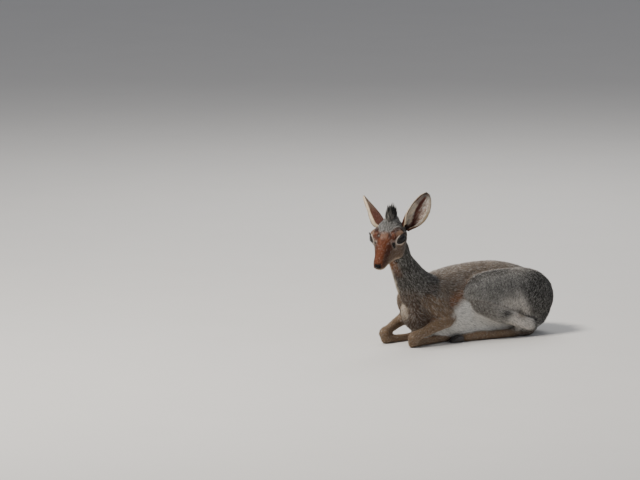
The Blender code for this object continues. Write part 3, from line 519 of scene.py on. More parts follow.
# For each point: share of each guide, nearest sample, and the blended way of the hair.
# The weight of a sample is (distance / radius) ** -9.
def followGuides(points):
    share = np.zeros((len(points), len(guides)))
    flow = np.zeros((len(points), 3))
    nearest = np.zeros(len(points), int)
    for start in range(0, len(points), 20000):
        part = slice(start, start + 20000)
        gap = np.linalg.norm(points[part, None] - guideAt[None], axis=2) / guideRadius
        weight = np.maximum(gap, 0.2) ** -9.0
        nearest[part] = weight.argmax(axis=1)
        flow[part] = weight @ guideFlow
        for i in range(len(guides)):
            share[part, i] = weight[:, guideIs == i].sum(axis=1)
    return share / share.sum(axis=1, keepdims=True), nearest, flow


# Smooth noise between -1 and 1: a sum of seven sines in random directions.
def waves(points, size, seed):
    rng = np.random.default_rng(seed)
    ways = unit(rng.normal(size=(7, 3))) * (2 * math.pi / size) * rng.uniform(0.6, 1.6, (7, 1))
    return np.sin(points @ ways.T + rng.uniform(0, 6.28, 7)).mean(axis=1) * 1.6


# sRGB shades of the coat and the bare parts. Some hold painted light and shade: the dark rump and
# hock are painted shadow, and the pale haunch front and the dark bridge sides are partly painted
# light and shade.
shades = {
    "back": (122, 109, 96), "ribs": (118, 100, 84), "flankGrey": (140, 136, 130),
    "haunch": (116, 114, 110), "haunchPaleAndLit": (168, 165, 158), "shadowedRump": (46, 44, 42),
    "belly": (226, 223, 216), "neckDark": (66, 63, 59), "neckLow": (100, 84, 72),
    "throatTan": (142, 90, 54), "throatPale": (204, 188, 168), "leg": (136, 112, 88),
    "legPale": (216, 209, 200), "crown": (72, 71, 69), "bridge": (101, 51, 22),
    "bridgeSideShaded": (84, 44, 25), "ashyHighlight": (126, 94, 76), "brow": (54, 28, 16),
    "aboveEye": (116, 88, 68), "cheek": (110, 88, 70), "cheekGrey": (102, 92, 82),
    "muzzleSide": (84, 56, 40), "lipPale": (172, 150, 126), "eyeRing": (206, 192, 178),
    "bare": (18, 15, 14), "earBack": (72, 32, 14), "earGrey": (92, 72, 56),
    "earRim": (126, 116, 102), "earCream": (208, 188, 160), "earSkin": (124, 92, 80),
    "earHair": (196, 188, 178), "earFold": (70, 32, 22), "earOlive": (108, 92, 70),
    "tail": (80, 72, 64), "shadedHock": (66, 60, 54),
}


# Display shade to linear light: c / 12.92 below 0.04045, else ((c + 0.055) / 1.055) ** 2.4.
def tint(name):
    c = np.array(shades[name]) / 255.0
    return np.where(c < 0.04045, c / 12.92, ((c + 0.055) / 1.055) ** 2.4)


# Lays shades over a colour, one after another: colour + mask * (shade - colour).
def layered(colour, *layers):
    for name, mask in layers:
        colour = colour + np.clip(mask, 0, 1)[:, None] * (tint(name) - colour)
    return colour


# Markings in linear light at each point, with painted shade and light mixed in (shadow on the rump,
# the thigh's fold and the hock, partly painted light on the haunch and leg), and how strongly the
# hair there is speckled.
def markingsAndShadows(points, normals, share):
    x, _, z = points.T
    part = {name: share[:, i] for i, name in enumerate(guideNames)}
    both = {key: part[key + "Left"] + part[key + "Right"]
            for key in list(hindLimb) + list(foreLimb)}
    wander = waves(points, 46, 1) * 5
    haunchShare = ramp(both["thigh"], 0.25, 0.75)
    shankShare = ramp(both["shank"], 0.3, 0.7)
    cannonShare = ramp(both["hindCannon"], 0.3, 0.7)
    trunkShare = ramp(part["trunk"], 0.3, 0.8)
    neckShare = ramp(part["neck"], 0.25, 0.75)
    arm = ramp(both["shoulder"] + both["forearm"] + both["foreCannon"], 0.3, 0.7)
    rearward = x + (85 - z) * 0.25 + wander
    # pale crescent round the folded leg, paler hair partly painted as a sunlit highlight, with a
    # dark notch of painted crease shade and a brown crease inside it
    folded = np.clip(haunchShare + shankShare, 0, 1)
    past = x - np.interp(z, (24, 45, 62, 80, 98), (76, 70, 60, 49, 40))
    paleLitGlow = ramp(x, -6, 34) * ramp(-past, -6, 6) * hill(z, 64, 13)
    band = hill(past, 0, 10) * ramp(z, 22, 32) * ramp(94 - z, 0, 26)
    lobe = shankShare * ramp(x, 18, 30) * ramp(82 - x, 0, 12)
    # painted shadow along the fold where the thigh meets the back
    foldShadow = 4 * haunchShare * (1 - haunchShare) * ramp(z, 80, 92) * ramp(50 - x, 0, 30)
    # height of the belly's edge along the trunk
    belt = np.interp(x, (-150, -120, -96, -45, 10, 60, 110), (22, 34, 60, 90, 84, 46, -20))
    under = ramp(belt + wander - z, 0, 16) * (1 - ramp(np.abs(x - 5), 118, 150))
    bib = ramp(-118 - x + wander, 0, 24)
    ahead = normals @ unit(np.array((-0.97, 0.22, 0.05)))
    pale = (neckShare + bib * ramp(z, 30, 60)) * ramp(ahead + 0.03 * waves(points, 12, 8),
                                                      0.86, 0.97)
    colour = layered(
        np.tile(tint("back"), (len(points), 1)),
        ("ribs", ramp(110 - z + wander, 0, 40) * ramp(30 - x, 0, 60)),
        ("flankGrey", ramp(x + wander * 2, 20, 90) * ramp(z, 60, 118) * 0.6),
        ("haunch", haunchShare),
        # front of the haunch paler: pale hair, partly painted sunlight
        ("haunchPaleAndLit", haunchShare * ramp(20 - x, 0, 60) * ramp(104 - z, 0, 30) * 0.7),
        # the rear of the rump darkened: painted shadow over dark grizzled hair
        ("shadowedRump", ramp(rearward, 26, 92) * ramp(z, 128, 104)),
        # painted shadow on the haunch behind the pale crescent
        ("shadowedRump", ramp(past, 6, 34) * ramp(108 - z, 0, 30) * haunchShare),
        ("haunch", shankShare * 0.8),
        ("haunchPaleAndLit", shankShare * ramp(x, -30, 30) * 0.7),
        ("leg", cannonShare),
        # the pale crescent: paler hair, partly a painted sunlit highlight
        ("legPale", np.maximum.reduce((paleLitGlow * 0.85, band, lobe)) * folded),
        ("leg", hill(x, 54, 11) * hill(z, 42, 6) * folded * 0.8),
        # the dark notch: painted shade in the crease of the folded leg
        ("shadowedRump", hill(x, 20, 13) * hill(z, 47, 7) * folded),
        # painted shadow at the back of the shank by the hock
        ("shadowedRump", shankShare * ramp(x, 74, 88) * 0.85),
        # painted shadow under the thigh's fold
        ("shadowedRump", foldShadow * 0.8),
        # the rear of the hind cannon darkened: painted shadow under the hock
        ("shadedHock", cannonShare * ramp(x, 20, 70) * 0.8),
        ("throatTan", hill(z, belt + 6, 9) * ramp(-20 - x, 0, 30) * trunkShare * 0.6),
        ("belly", under * trunkShare),
        ("belly", ramp(-normals[:, 2], 0.2, 0.8) * trunkShare * ramp(118 - np.abs(x), 0, 30)),
        # painted shadow low on the rear of the rump
        ("shadowedRump", ramp(x, 96, 140) * ramp(z, 128, 100) * 0.9),
        ("tail", ramp(part["tail"], 0.2, 0.7) * 0.7),
        ("neckLow", bib),
        ("neckDark", neckShare),
        ("neckDark", ramp(-98 - x + wander, 0, 26) * ramp(z, 70, 100)),
        ("neckLow", neckShare * ramp(112 - z + wander, 0, 30)),
        ("throatTan", neckShare * ramp(ahead, 0.25, 0.75) * ramp(z + wander, 118, 150) * 0.9),
        ("throatPale", pale * 0.85),
        ("leg", arm),
        ("ribs", arm * ramp(z, 46, 74) * 0.7),
        ("belly", under * ramp(both["shoulder"], 0.4, 0.8) * ramp(x, -98, -80)),
        ("lipPale", (both["forearm"] > 0.4) * ramp(-normals[:, 2], 0.1, 0.6) * 0.5),
    )
    face = ramp(part["head"], 0.25, 0.75)
    colour = colour + face[:, None] * (faceMarkingsAndShading(points, normals) - colour)
    f, l, u = toHead(points).T
    onCrown = ramp(40 - f - 2.4 * np.abs(l), 0, 8) * ramp(u - 0.2 * f, -1, 5) * ramp(17 - f, 0, 6)
    onFace = (0.05 + 0.22 * ramp(14 - f, 0, 20) + 0.9 * onCrown
              + 0.25 * ramp(-u - 2, 0, 10) * ramp(40 - f, 0, 14))
    speckle = 0.55 + 0.35 * haunchShare + 0.2 * neckShare - 0.35 * under * trunkShare
    speckle = speckle * (1 - face) + face * onFace
    return np.clip(colour, 0, 1), np.clip(speckle, 0, 1)


# The face: speckled crown, chestnut bridge darker down its sides, partly painted shade, and ashy
# where it leaves the crown with a painted highlight along its ridge, rufous brow, lips and chin,
# pale front corner of the eye, dark trail behind it.
# edge = forward + 2.4 * sideways, which is 37 where the speckled crown meets the brow.
def faceMarkingsAndShading(points, normals):
    f, l, u = toHead(points).T
    side = np.abs(l)
    wander = waves(points, 9, 6)
    drop = np.interp(f, [r[0] for r in head], [r[1] for r in head]) - u
    line = np.interp(f, *np.array(mouthLine).T)
    edge = f + 2.4 * side + wander * 2.5
    high = ramp(u - 0.2 * f, -1, 5)
    saddle = ramp(f, 8, 15) * ramp(17.5 - drop + wander, 0, 4)
    corner = ramp(f - 0.35 * u, 2, 8)
    pit = np.hypot((f - gland[0] - 1) * 1.4, (u - gland[2]) * 0.85)
    trail = hill(u - 0.25 * (-10 - f), 3.5, 2.2) * ramp(-9 - f, 0, 2)
    return layered(
        np.tile(tint("cheek"), (len(points), 1)),
        ("cheekGrey", ramp(-f + wander * 4, -6, 22) * ramp(-u, -6, 10)),
        ("brow", high * ramp(-30 - f, -8, 0) * 0.7),
        ("aboveEye", ramp(edge, 50, 56) * high * ramp(18 - f, 0, 10)),
        ("brow", ramp(edge, 33, 40) * ramp(58 - edge, 0, 8) * high * ramp(f, -38, -28)),
        ("crown", ramp(38 - edge, 0, 5) * high * ramp(15 - f, 0, 5)),
        # darker sides of the bridge: darker hair, partly painted shade
        ("bridgeSideShaded", saddle),
        ("bridge", saddle * ramp(11 - drop - 0.35 * side, 0, 5)),
        # ashy hair on the bridge, partly a painted highlight along its ridge
        ("ashyHighlight", ramp(f, 10, 14) * ramp(27 - f, 0, 9) * ramp(7.5 - side, 0, 4)),
        ("brow", ramp(f, 9, 15) * ramp(30 - f, 0, 9) * ramp(side, 5, 8) * ramp(15 - side, 0, 4)
         * high),
        ("muzzleSide", ramp(f, 34, 48) * ramp(u - line, 1.5, 5) * ramp(side, 5, 9) * 0.7),
        ("lipPale", ramp(f, 30, 44) * ramp(line + 1.6 - u, 0, 2.4)),
        ("lipPale", ramp(-(normals @ headAxes[2]), 0.3, 0.85) * ramp(f, -30, -8) * 0.9),
        ("lipPale", ramp(u - line, -1, 1) * ramp(line + 4 - u, 0, 2) * ramp(f, 30, 42) * 0.6),
        ("eyeRing", ramp(1.14 + 0.2 * corner - almondReach(points), 0, 0.14)
         * (0.15 + 0.85 * corner)),
        ("eyeRing", ramp(9.5 - pit, 0, 4) * (side > 6) * 0.3),
        ("bare", ramp(5.4 - pit, 0, 1.2) * (side > 6)),
        ("bare", trail * ramp(f, -24, -14) * (side > 10) * 0.9),
    )


# How far out a point lies from the axis of its eye, 1 on the almond grown by its margin.
def almondReach(points):
    reach = np.full(len(points), 9.0)
    for side in (1, -1):
        look, outer, upper = eyeAxes(side)
        arm = points - fromHead(np.array(eye["at"]) * (1, side, 1))
        high = eye["halfHeight"] * np.where(arm @ upper > 0, 1.0, eye["lowerHeight"])
        here = np.hypot(arm @ outer / (eye["halfLength"] + eye["margin"]),
                        arm @ upper / (high + eye["margin"]))
        reach = np.where(arm @ look > 3.0, np.minimum(reach, here), reach)
    return reach


# Bare dark skin: nose pad, nostrils, line of the mouth, lids and tear gland.
def bareSkin(points):
    f, l, u = toHead(points).T
    side = np.abs(l)
    pad = ramp(f + 0.25 * u, 54.2, 55.8) * ramp(u, -30.6, -29.0) * ramp(-20.6 - u, 0, 2.2)
    pad = pad * ramp(6.4 - side, 0, 1.4)
    lip = ramp(f, 34, 40) * hill(u, np.interp(f, *np.array(mouthLine).T), 1.0)
    lid = ramp(1.14 - almondReach(points), 0, 0.09)
    pit = np.exp(-((distanceTo(f, l, u, (gland[0], 17.5, gland[2])) / 3.0) ** 4)) * (side > 8)
    return np.clip(np.maximum.reduce((pad, lip * 0.9, lid, pit)), 0, 1)


# Writes one colour or number for each point into a named attribute.
def paint(mesh, name, values):
    values = np.asarray(values, float)
    if values.ndim == 1:
        mesh.attributes.new(name, "FLOAT", "POINT").data.foreach_set("value", values)
        return
    shade = np.ones((len(values), 4))
    shade[:, :3] = values
    mesh.color_attributes.new(name, "FLOAT_COLOR", "POINT").data.foreach_set("color", shade.ravel())


skinPoints = meshPoints(skin.data)
skinNormals = meshNormals(skin.data)
skinShare, skinNearest, skinFlow = followGuides(skinPoints)
skinFlow = skinFlow + 0.14 * np.linalg.norm(skinFlow, axis=1, keepdims=True) * np.stack(
    [waves(skinPoints, 55, seed) for seed in (11, 12, 13)], axis=1)
skinFlow = unit(skinFlow - (skinFlow * skinNormals).sum(1, keepdims=True) * skinNormals)
skinColour, skinSpeckle = markingsAndShadows(skinPoints, skinNormals, skinShare)
skinBare = bareSkin(skinPoints)
skinTris = skinTriangles()
# the skin under the coat is darker: undercoat, with painted shade between the tufts
paint(skin.data, "coat", skinColour * skinForm["undercoatAndShadow"])
paint(skin.data, "bare", skinBare)
print("skin painted", len(skinTris))


# A mesh straight from arrays of points and triangles.
def rawPiece(name, points, tris):
    mesh = bpy.data.meshes.new(name)
    mesh.vertices.add(len(points))
    mesh.vertices.foreach_set("co", (points * mm).ravel())
    mesh.loops.add(len(tris) * 3)
    mesh.loops.foreach_set("vertex_index", tris.ravel().astype(np.int32))
    mesh.polygons.add(len(tris))
    mesh.polygons.foreach_set("loop_start", np.arange(0, len(tris) * 3, 3, dtype=np.int32))
    mesh.update(calc_edges=True)
    mesh.shade_smooth()
    obj = bpy.data.objects.new(name, mesh)
    bpy.context.scene.collection.objects.link(obj)
    return obj


# Each hair tuft is a closed three-sided spindle along its path: a root point, rings of
# middle +- across * width / 2 and middle + out * width * 0.4, and a tip point.
def spindles(paths, out, width, profile):
    count, stations = paths.shape[:2]
    run = unit(paths[:, -1] - paths[:, 0])
    across = unit(np.cross(run, out))
    ringCount = stations - 2
    points = np.empty((count, 2 + 3 * ringCount, 3))
    points[:, 0], points[:, -1] = paths[:, 0], paths[:, -1]
    for k in range(ringCount):
        size = (width * profile[k])[:, None]
        centre = paths[:, k + 1]
        points[:, 1 + 3 * k] = centre - across * size * 0.5
        points[:, 2 + 3 * k] = centre + out * size * 0.4
        points[:, 3 + 3 * k] = centre + across * size * 0.5
    tris = []
    for j in range(3):
        n = (j + 1) % 3
        tris.append((0, 1 + n, 1 + j))
        tris.append((1 + 3 * ringCount, 3 * ringCount - 2 + j, 3 * ringCount - 2 + n))
        for k in range(ringCount - 1):
            a, b = 1 + 3 * k + j, 1 + 3 * k + n
            tris += [(a, b, b + 3), (a, b + 3, a + 3)]
    step = points.shape[1]
    index = np.array(tris)[None] + np.arange(count)[:, None, None] * step
    return points, index.reshape(-1, 3)


# Points spread evenly over the skin: area times density picks the triangle in even steps.
def scatter(density, count, seed):
    rng = np.random.default_rng(seed)
    a, b, c = (skinPoints[skinTris[:, k]] for k in range(3))
    area = np.linalg.norm(np.cross(b - a, c - a), axis=1) * density[skinTris].mean(axis=1)
    total = np.cumsum(area)
    at = (np.arange(count) + rng.random(count)) / count * total[-1]
    tri = np.minimum(np.searchsorted(total, at), len(area) - 1)
    r, s = np.sqrt(rng.random(count)), rng.random(count)
    mix = np.stack((1 - r, r * (1 - s), r * s), axis=1)
    corner = skinTris[tri]

    def carried(values):
        return (values[corner] * mix.reshape(mix.shape + (1,) * (values.ndim - 1))).sum(axis=1)
    return carried, corner[:, 0], rng


# Place of a root on an unwrap of the skin: across by the angle round the guide, along by the
# distance down it, in a strip for each guide.
def unwrapped(roots, nearest):
    strips = sorted(set(guideIs[nearest]))
    strip = np.searchsorted(strips, guideIs[nearest])
    middle, run = guideAt[nearest], guideFlow[nearest]
    side = unit(np.cross(run, (0.0, 0.12, 1.0)))
    up = np.cross(side, run)
    arm = roots - middle
    turn = np.arctan2((arm * up).sum(1), (arm * side).sum(1)) / (2 * math.pi) + 0.5
    along = guideT[nearest] + 0.5 * (arm * run).sum(1) / 200.0
    u = (strip + 0.02 + 0.95 * turn) / len(strips)
    return np.stack((u, 0.02 + 0.95 * np.clip(along, 0, 1)), axis=1)


# Unwrap named OFBake: root place plus 0.003 times the way across and along a tuft.
def bakePatch(obj, place, steps, tris):
    uv = (place[:, None] + np.array(steps)[None] * 0.003).reshape(-1, 2)
    layer = obj.data.uv_layers.new(name="OFBake")
    layer.uv.foreach_set("vector", uv[tris.ravel()].ravel())


# Shading normal = own normal * (1 - mixture) + skin normal * mixture.
def softNormals(obj, faceNormals, per, mixture):
    own = meshNormals(obj.data)
    made = unit(own * (1 - mixture) + np.repeat(faceNormals, per, axis=0) * mixture)
    obj.data.normals_split_custom_set_from_vertices(made)


tuftForm = {"rootDepth": 0.35, "lowerRise": 1.35, "upperRise": 0.35, "softness": 0.6}
tuftSteps = [(0, 0), (-0.5, 0.5), (0, 0.5), (0.5, 0.5), (0, 1)]


# Hairs of a coat: length, width and rise blend over the body, tips bend back to the lie.
def coatPiece(name, density, count, seed, form, material):
    carried, first, rng = scatter(density, count, seed)
    roots, out = carried(skinPoints), unit(carried(skinNormals))
    flow = carried(skinFlow)
    flow = unit(flow - (flow * out).sum(1, keepdims=True) * out)
    colour, speckle = carried(skinColour), carried(skinSpeckle)
    length = carried(form["length"]) * rng.uniform(0.7, 1.25, count)
    width = carried(form["width"]) * rng.uniform(0.75, 1.25, count)
    rise = carried(form["rise"]) + rng.normal(0, 0.06, count)
    clump = waves(roots, form["clump"], seed + 3) * form["stray"]
    side = np.cross(out, flow)
    swing = clump + rng.normal(0, form["stray"] * 0.8, count)
    flow = unit(flow + side * swing[:, None])

    def way(angle):
        return flow * np.cos(angle)[:, None] + out * np.sin(angle)[:, None]
    start = roots - out * tuftForm["rootDepth"]
    middle = start + way(rise * tuftForm["lowerRise"]) * (length * 0.5)[:, None]
    tip = middle + way(rise * tuftForm["upperRise"]) * (length * 0.5)[:, None]
    middle[:, 2] = np.maximum(middle[:, 2], 0.35)
    tip[:, 2] = np.maximum(tip[:, 2], 0.2)
    start[:, 2] = np.maximum(start[:, 2], 0.1)
    points, tris = spindles(np.stack((start, middle, tip), 1), out, width, (1.0,))
    points[:, :, 2] = np.maximum(points[:, :, 2], 0.05)
    obj = rawPiece(name, points.reshape(-1, 3), tris)
    shade, tipShade = grizzle(colour, speckle, waves(roots, form["cluster"], seed + 5),
                              form["patchy"], rng)
    steps = np.stack((shade * 0.68, shade * 0.93, shade, shade * 0.93, tipShade), axis=1)
    paint(obj.data, "coat", np.clip(steps, 0, 1).reshape(-1, 3))
    bakePatch(obj, unwrapped(roots, skinNearest[first]), tuftSteps, tris)
    softNormals(obj, out, len(tuftSteps), tuftForm["softness"])
    obj.data.materials.append(material)
    print(name, len(tris))
    return obj


grizzleForm = {"pale": 0.3, "black": 0.34, "banded": 0.6, "darken": 0.3,
               "paleShade": (0.60, 0.58, 0.54)}


# Speckled hair: most keep the marking, some turn pale and some black, in clusters, and each
# has its own brightness; a banded tip is paler or darker than the hair.
def grizzle(colour, speckle, cluster, patchy, rng):
    count = len(colour)
    kind = rng.random(count) - 0.7 * patchy * cluster
    bright = np.exp(rng.normal(0, 0.12, count) * (0.6 + speckle))
    shade = colour * bright[:, None]
    light = shade * 0.5 + 0.5 * np.array(grizzleForm["paleShade"])
    dark = shade * grizzleForm["darken"]
    pale = (kind < grizzleForm["pale"] * speckle)[:, None]
    black = (kind > 1 - grizzleForm["black"] * speckle)[:, None]
    middle = np.where(pale, light, np.where(black, dark, shade))
    middle = middle * (1 + patchy * speckle * cluster)[:, None]
    swap = rng.random(count)[:, None] < grizzleForm["banded"] * speckle[:, None]
    tip = np.where(pale & swap, dark, np.where(black & swap, light, middle * 1.12))
    return middle, tip


# A material with its Principled shader's constants set.
def newMaterial(name, roughness, specular=0.4):
    made = bpy.data.materials.new(name)
    made.use_nodes = True
    shader = made.node_tree.nodes["Principled BSDF"]
    shader.inputs["Roughness"].default_value = roughness
    shader.inputs["Specular IOR Level"].default_value = specular
    return made, made.node_tree, shader


# A node with values on its sockets.
def addNode(tree, kind, **inputs):
    node = tree.nodes.new(kind)
    for key, value in inputs.items():
        node.inputs[key].default_value = value
    return node


# A node that reads a named attribute of the mesh.
def addAttribute(tree, name):
    node = tree.nodes.new("ShaderNodeAttribute")
    node.attribute_name = name
    return node


# Node group: noise in the object's own space, stretched by scale, put out as a number
# around 1 for shading a colour and as a height for a bump.
def strandNoise():
    group = bpy.data.node_groups.new("strandNoise", "ShaderNodeTree")
    face = group.interface
    face.new_socket("Scale", in_out="INPUT", socket_type="NodeSocketFloat")
    face.new_socket("Strength", in_out="INPUT", socket_type="NodeSocketFloat")
    face.new_socket("Colour", in_out="INPUT", socket_type="NodeSocketColor")
    face.new_socket("Colour", in_out="OUTPUT", socket_type="NodeSocketColor")
    face.new_socket("Height", in_out="OUTPUT", socket_type="NodeSocketFloat")
    entry = group.nodes.new("NodeGroupInput")
    leave = group.nodes.new("NodeGroupOutput")
    place = group.nodes.new("ShaderNodeTexCoord")
    fine = addNode(group, "ShaderNodeTexNoise", Detail=5.0, Roughness=0.6)
    group.links.new(place.outputs["Object"], fine.inputs["Vector"])
    group.links.new(entry.outputs["Scale"], fine.inputs["Scale"])
    offset = group.nodes.new("ShaderNodeMath")
    offset.operation = "SUBTRACT"
    offset.inputs[1].default_value = 0.5
    group.links.new(fine.outputs["Fac"], offset.inputs[0])
    scaled = group.nodes.new("ShaderNodeMath")
    scaled.operation = "MULTIPLY_ADD"
    scaled.inputs[2].default_value = 1.0
    group.links.new(offset.outputs[0], scaled.inputs[0])
    group.links.new(entry.outputs["Strength"], scaled.inputs[1])
    shade = group.nodes.new("ShaderNodeVectorMath")
    shade.operation = "SCALE"
    group.links.new(entry.outputs["Colour"], shade.inputs[0])
    group.links.new(scaled.outputs[0], shade.inputs["Scale"])
    group.links.new(shade.outputs[0], leave.inputs["Colour"])
    group.links.new(fine.outputs["Fac"], leave.inputs["Height"])
    return group


noiseGroup = strandNoise()


# The noise group in a material, fed by a shade or by a socket.
def addNoise(tree, source, scale, strength):
    node = tree.nodes.new("ShaderNodeGroup")
    node.node_tree = noiseGroup
    node.inputs["Scale"].default_value = scale
    node.inputs["Strength"].default_value = strength
    if isinstance(source, tuple):
        node.inputs["Colour"].default_value = source
    else:
        tree.links.new(source, node.inputs["Colour"])
    return node


# A bump from a height into the shader's normal.
def addBump(tree, shader, height, strength, distance):
    bump = addNode(tree, "ShaderNodeBump", Strength=strength, Distance=distance)
    tree.links.new(height, bump.inputs["Height"])
    tree.links.new(bump.outputs["Normal"], shader.inputs["Normal"])


# Hair reads its colour from the tuft and varies it along the coat.
def coatMaterial(name, roughness, patchScale):
    made, tree, shader = newMaterial(name, roughness, 0.28)
    patchy = addNoise(tree, addAttribute(tree, "coat").outputs["Color"], patchScale, 0.5)
    fine = addNoise(tree, patchy.outputs["Colour"], 900.0, 0.7)
    tree.links.new(fine.outputs["Colour"], shader.inputs["Base Color"])
    return made


# Skin under the coat, turning to dark pebbled leather where it is bare.
def skinMaterial():
    made, tree, shader = newMaterial("under coat", 0.7, 0.25)
    bare = addAttribute(tree, "bare")
    fur = addNoise(tree, addAttribute(tree, "coat").outputs["Color"], 700.0, 0.9)
    leather = addNoise(tree, (*tint("bare"), 1.0), 500.0, 0.8)
    pebbles = addNode(tree, "ShaderNodeTexVoronoi", Scale=950.0)
    place = tree.nodes.new("ShaderNodeTexCoord")
    tree.links.new(place.outputs["Object"], pebbles.inputs["Vector"])
    mixed = tree.nodes.new("ShaderNodeMix")
    mixed.data_type = "RGBA"
    tree.links.new(bare.outputs["Fac"], mixed.inputs["Factor"])
    sockets = [s for s in mixed.inputs if s.type == "RGBA"]
    tree.links.new(fur.outputs["Colour"], sockets[0])
    tree.links.new(leather.outputs["Colour"], sockets[1])
    result = [s for s in mixed.outputs if s.type == "RGBA"][0]
    tree.links.new(result, shader.inputs["Base Color"])
    wet = addNode(tree, "ShaderNodeMapRange")
    wet.inputs["To Min"].default_value = 0.75
    wet.inputs["To Max"].default_value = 0.34
    tree.links.new(bare.outputs["Fac"], wet.inputs["Value"])
    tree.links.new(wet.outputs["Result"], shader.inputs["Roughness"])
    heights = tree.nodes.new("ShaderNodeMix")
    tree.links.new(bare.outputs["Fac"], heights.inputs["Factor"])
    tree.links.new(fur.outputs["Height"], heights.inputs[2])
    tree.links.new(pebbles.outputs["Distance"], heights.inputs[3])
    addBump(tree, shader, heights.outputs[0], 0.5, 0.0004)
    return made


bodyCoat = coatMaterial("body hair", 0.6, 45.0)
faceCoat = coatMaterial("face hair", 0.6, 160.0)
longCoat = coatMaterial("long hair", 0.5, 200.0)
skin.data.materials.clear()
skin.data.materials.append(skinMaterial())

# Lengths in millimetres and rises in radians of the hair at each point of the skin.
f, l, u = toHead(skinPoints).T
share = {name: skinShare[:, i] for i, name in enumerate(guideNames)}
limbs = sum(share[key + word] for key in ("hindCannon", "foreCannon", "forearm")
            for word in ("Left", "Right"))
faceShare = ramp(share["head"], 0.3, 0.7)
limbShare = ramp(limbs, 0.3, 0.7)
hindShare = sum(share[key + word] for key in ("thigh", "shank") for word in ("Left", "Right"))
nearEye = ramp(24 - distanceTo(f, l, u, eye["at"]), 0, 9) * (np.abs(l) > 6)
nearEye = np.maximum(nearEye, ramp(9 - distanceTo(f, l, u, gland), 0, 3) * (np.abs(l) > 6))
muzzle = ramp(f, 4, 44)
hairForm = {
    "length": (7.4 - 3.6 * limbShare - 1.4 * ramp(hindShare, 0.3, 0.7)) * (1 - faceShare)
    + faceShare * (4.8 - 2.6 * muzzle - 2.2 * nearEye * (1 - muzzle)),
    "width": 0.56 * (1 - faceShare) + faceShare * (0.4 - 0.14 * muzzle) - 0.12 * limbShare,
    "rise": 0.27 + 0.05 * faceShare - 0.05 * limbShare,
    "clump": 16.0,
    "stray": 0.16,
    "cluster": 6.0,
    "patchy": 0.12,
}
faceForm = dict(hairForm, clump=7.0, stray=0.12, cluster=4.0, patchy=0.3)
furred = (1 - skinBare) ** 2 * (1 - 0.9 * ramp(1.2 - skinPoints[:, 2], 0, 0.8))
inside = np.zeros(len(skinPoints))
for side in (1, -1):
    centre = fromHead(np.array(eye["at"]) * (1, side, 1))
    inside = np.maximum(inside, np.linalg.norm(skinPoints - centre, axis=1) < eye["hairFrom"])
furred = furred * (1 - inside)
leftSide = ramp(-skinPoints[:, 1], -0.5, 0.5)
hind = ramp(hindShare, 0.35, 0.5)
onNeck = ramp(share["neck"], 0.4, 0.5)
onTrunk = (1 - faceShare) * (1 - limbShare) * (1 - hind) * (1 - onNeck)
front = ramp(-45 - skinPoints[:, 0], -2, 2)
onMuzzle = ramp(f, 3, 6)
# Tufts, where they grow, their form and their material.
coatPlan = {
    "back": (26000, onTrunk * (1 - front), hairForm, bodyCoat),
    "breast": (26000, onTrunk * front, hairForm, bodyCoat),
    "haunch_left": (27000, hind * leftSide, hairForm, bodyCoat),
    "haunch_right": (24000, hind * (1 - leftSide), hairForm, bodyCoat),
    "neck": (22000, onNeck * (1 - faceShare), hairForm, bodyCoat),
    "legs": (18000, limbShare, hairForm, bodyCoat),
    "muzzle": (27000, faceShare * onMuzzle, faceForm, faceCoat),
    "skull": (30000, faceShare * (1 - onMuzzle), faceForm, faceCoat),
}
coats = [coatPiece("coat_" + name, where * furred, count, seed, form, material)
         for seed, (name, (count, where, form, material)) in enumerate(coatPlan.items(), 21)]

ears = {
    "left": {"at": (-31, 24.5, 8), "run": (-0.598, 0.464, 0.654),
             "opens": (0.948, 0.283, 0.148), "bow": (0.7, -2.6), "creamFrom": (0.96, 0.95, 0.93)},
    "right": {"at": (-34.5, -19.6, 6.3), "run": (-0.593, -0.686, 0.421),
               "opens": (-0.315, -0.939, 0.138), "bow": (-5.3, 4.5),
              "creamFrom": (0.78, 0.88, 0.72)},
}
earForm = {
    "length": 75, "halfWidth": 18.3, "thickness": 1.5, "sunk": 3, "backSwell": 5.0,
    "tipBack": 6.0,
    "at": (0, 0.06, 0.14, 0.25, 0.38, 0.5, 0.62, 0.74, 0.85, 0.94, 1.0),
    "width": (0.5, 0.58, 0.74, 0.91, 1.0, 1.0, 0.94, 0.81, 0.63, 0.41, 0.16),
}


# The table of the ear on one side.
def earOf(side):
    return ears["left" if side == 1 else "right"]


# Along the ear, across it, and the way its cup opens.
def earAxes(side):
    form = earOf(side)
    run = unit(np.array(form["run"], float)) @ headAxes
    opens = unit(np.array(form["opens"], float)) @ headAxes
    opens = unit(opens - run * (opens @ run))
    return run, np.cross(opens, run), opens


# Where the dark stem wanders up the cup; front = 1 is the ear's front margin, -1 its rear.
def stemAt(t):
    return np.interp(t, (0.05, 0.21, 0.35, 0.45, 0.7, 0.88), (-0.4, -0.25, 0.0, 0.16, 0.2, 0.08))


# How steeply branches leave the stem: 0.4 * exp(2.9 * (t - 0.3)).
def branchSlope(t):
    return 0.4 * np.exp(2.9 * (np.clip(t, 0.2, 0.75) - 0.3))


# Dark folds inside an ear, 0 to 1: the stem, thin branches at equal steps of t - slope *
# distance from the stem, and a line along the front margin.
def earFolds(t, front):
    away = stemAt(t) - front
    stem = np.exp(-((away / (0.1 + 0.05 * t)) ** 2)) * ramp(0.9 - t, 0, 0.06)
    phase = (t - branchSlope(t) * away) / 0.083
    branch = ramp(np.cos(2 * math.pi * phase), 0.3, 0.95) * ramp(away, 0.0, 0.06)
    branch = branch * ramp(front, -0.82, -0.6) * ramp(0.86 - t, 0, 0.12)
    edge = np.exp(-(((front - 0.86) / 0.06) ** 2)) * ramp(t, 0.42, 0.55)
    return np.clip(stem + 0.75 * branch + 0.9 * edge, 0, 1)


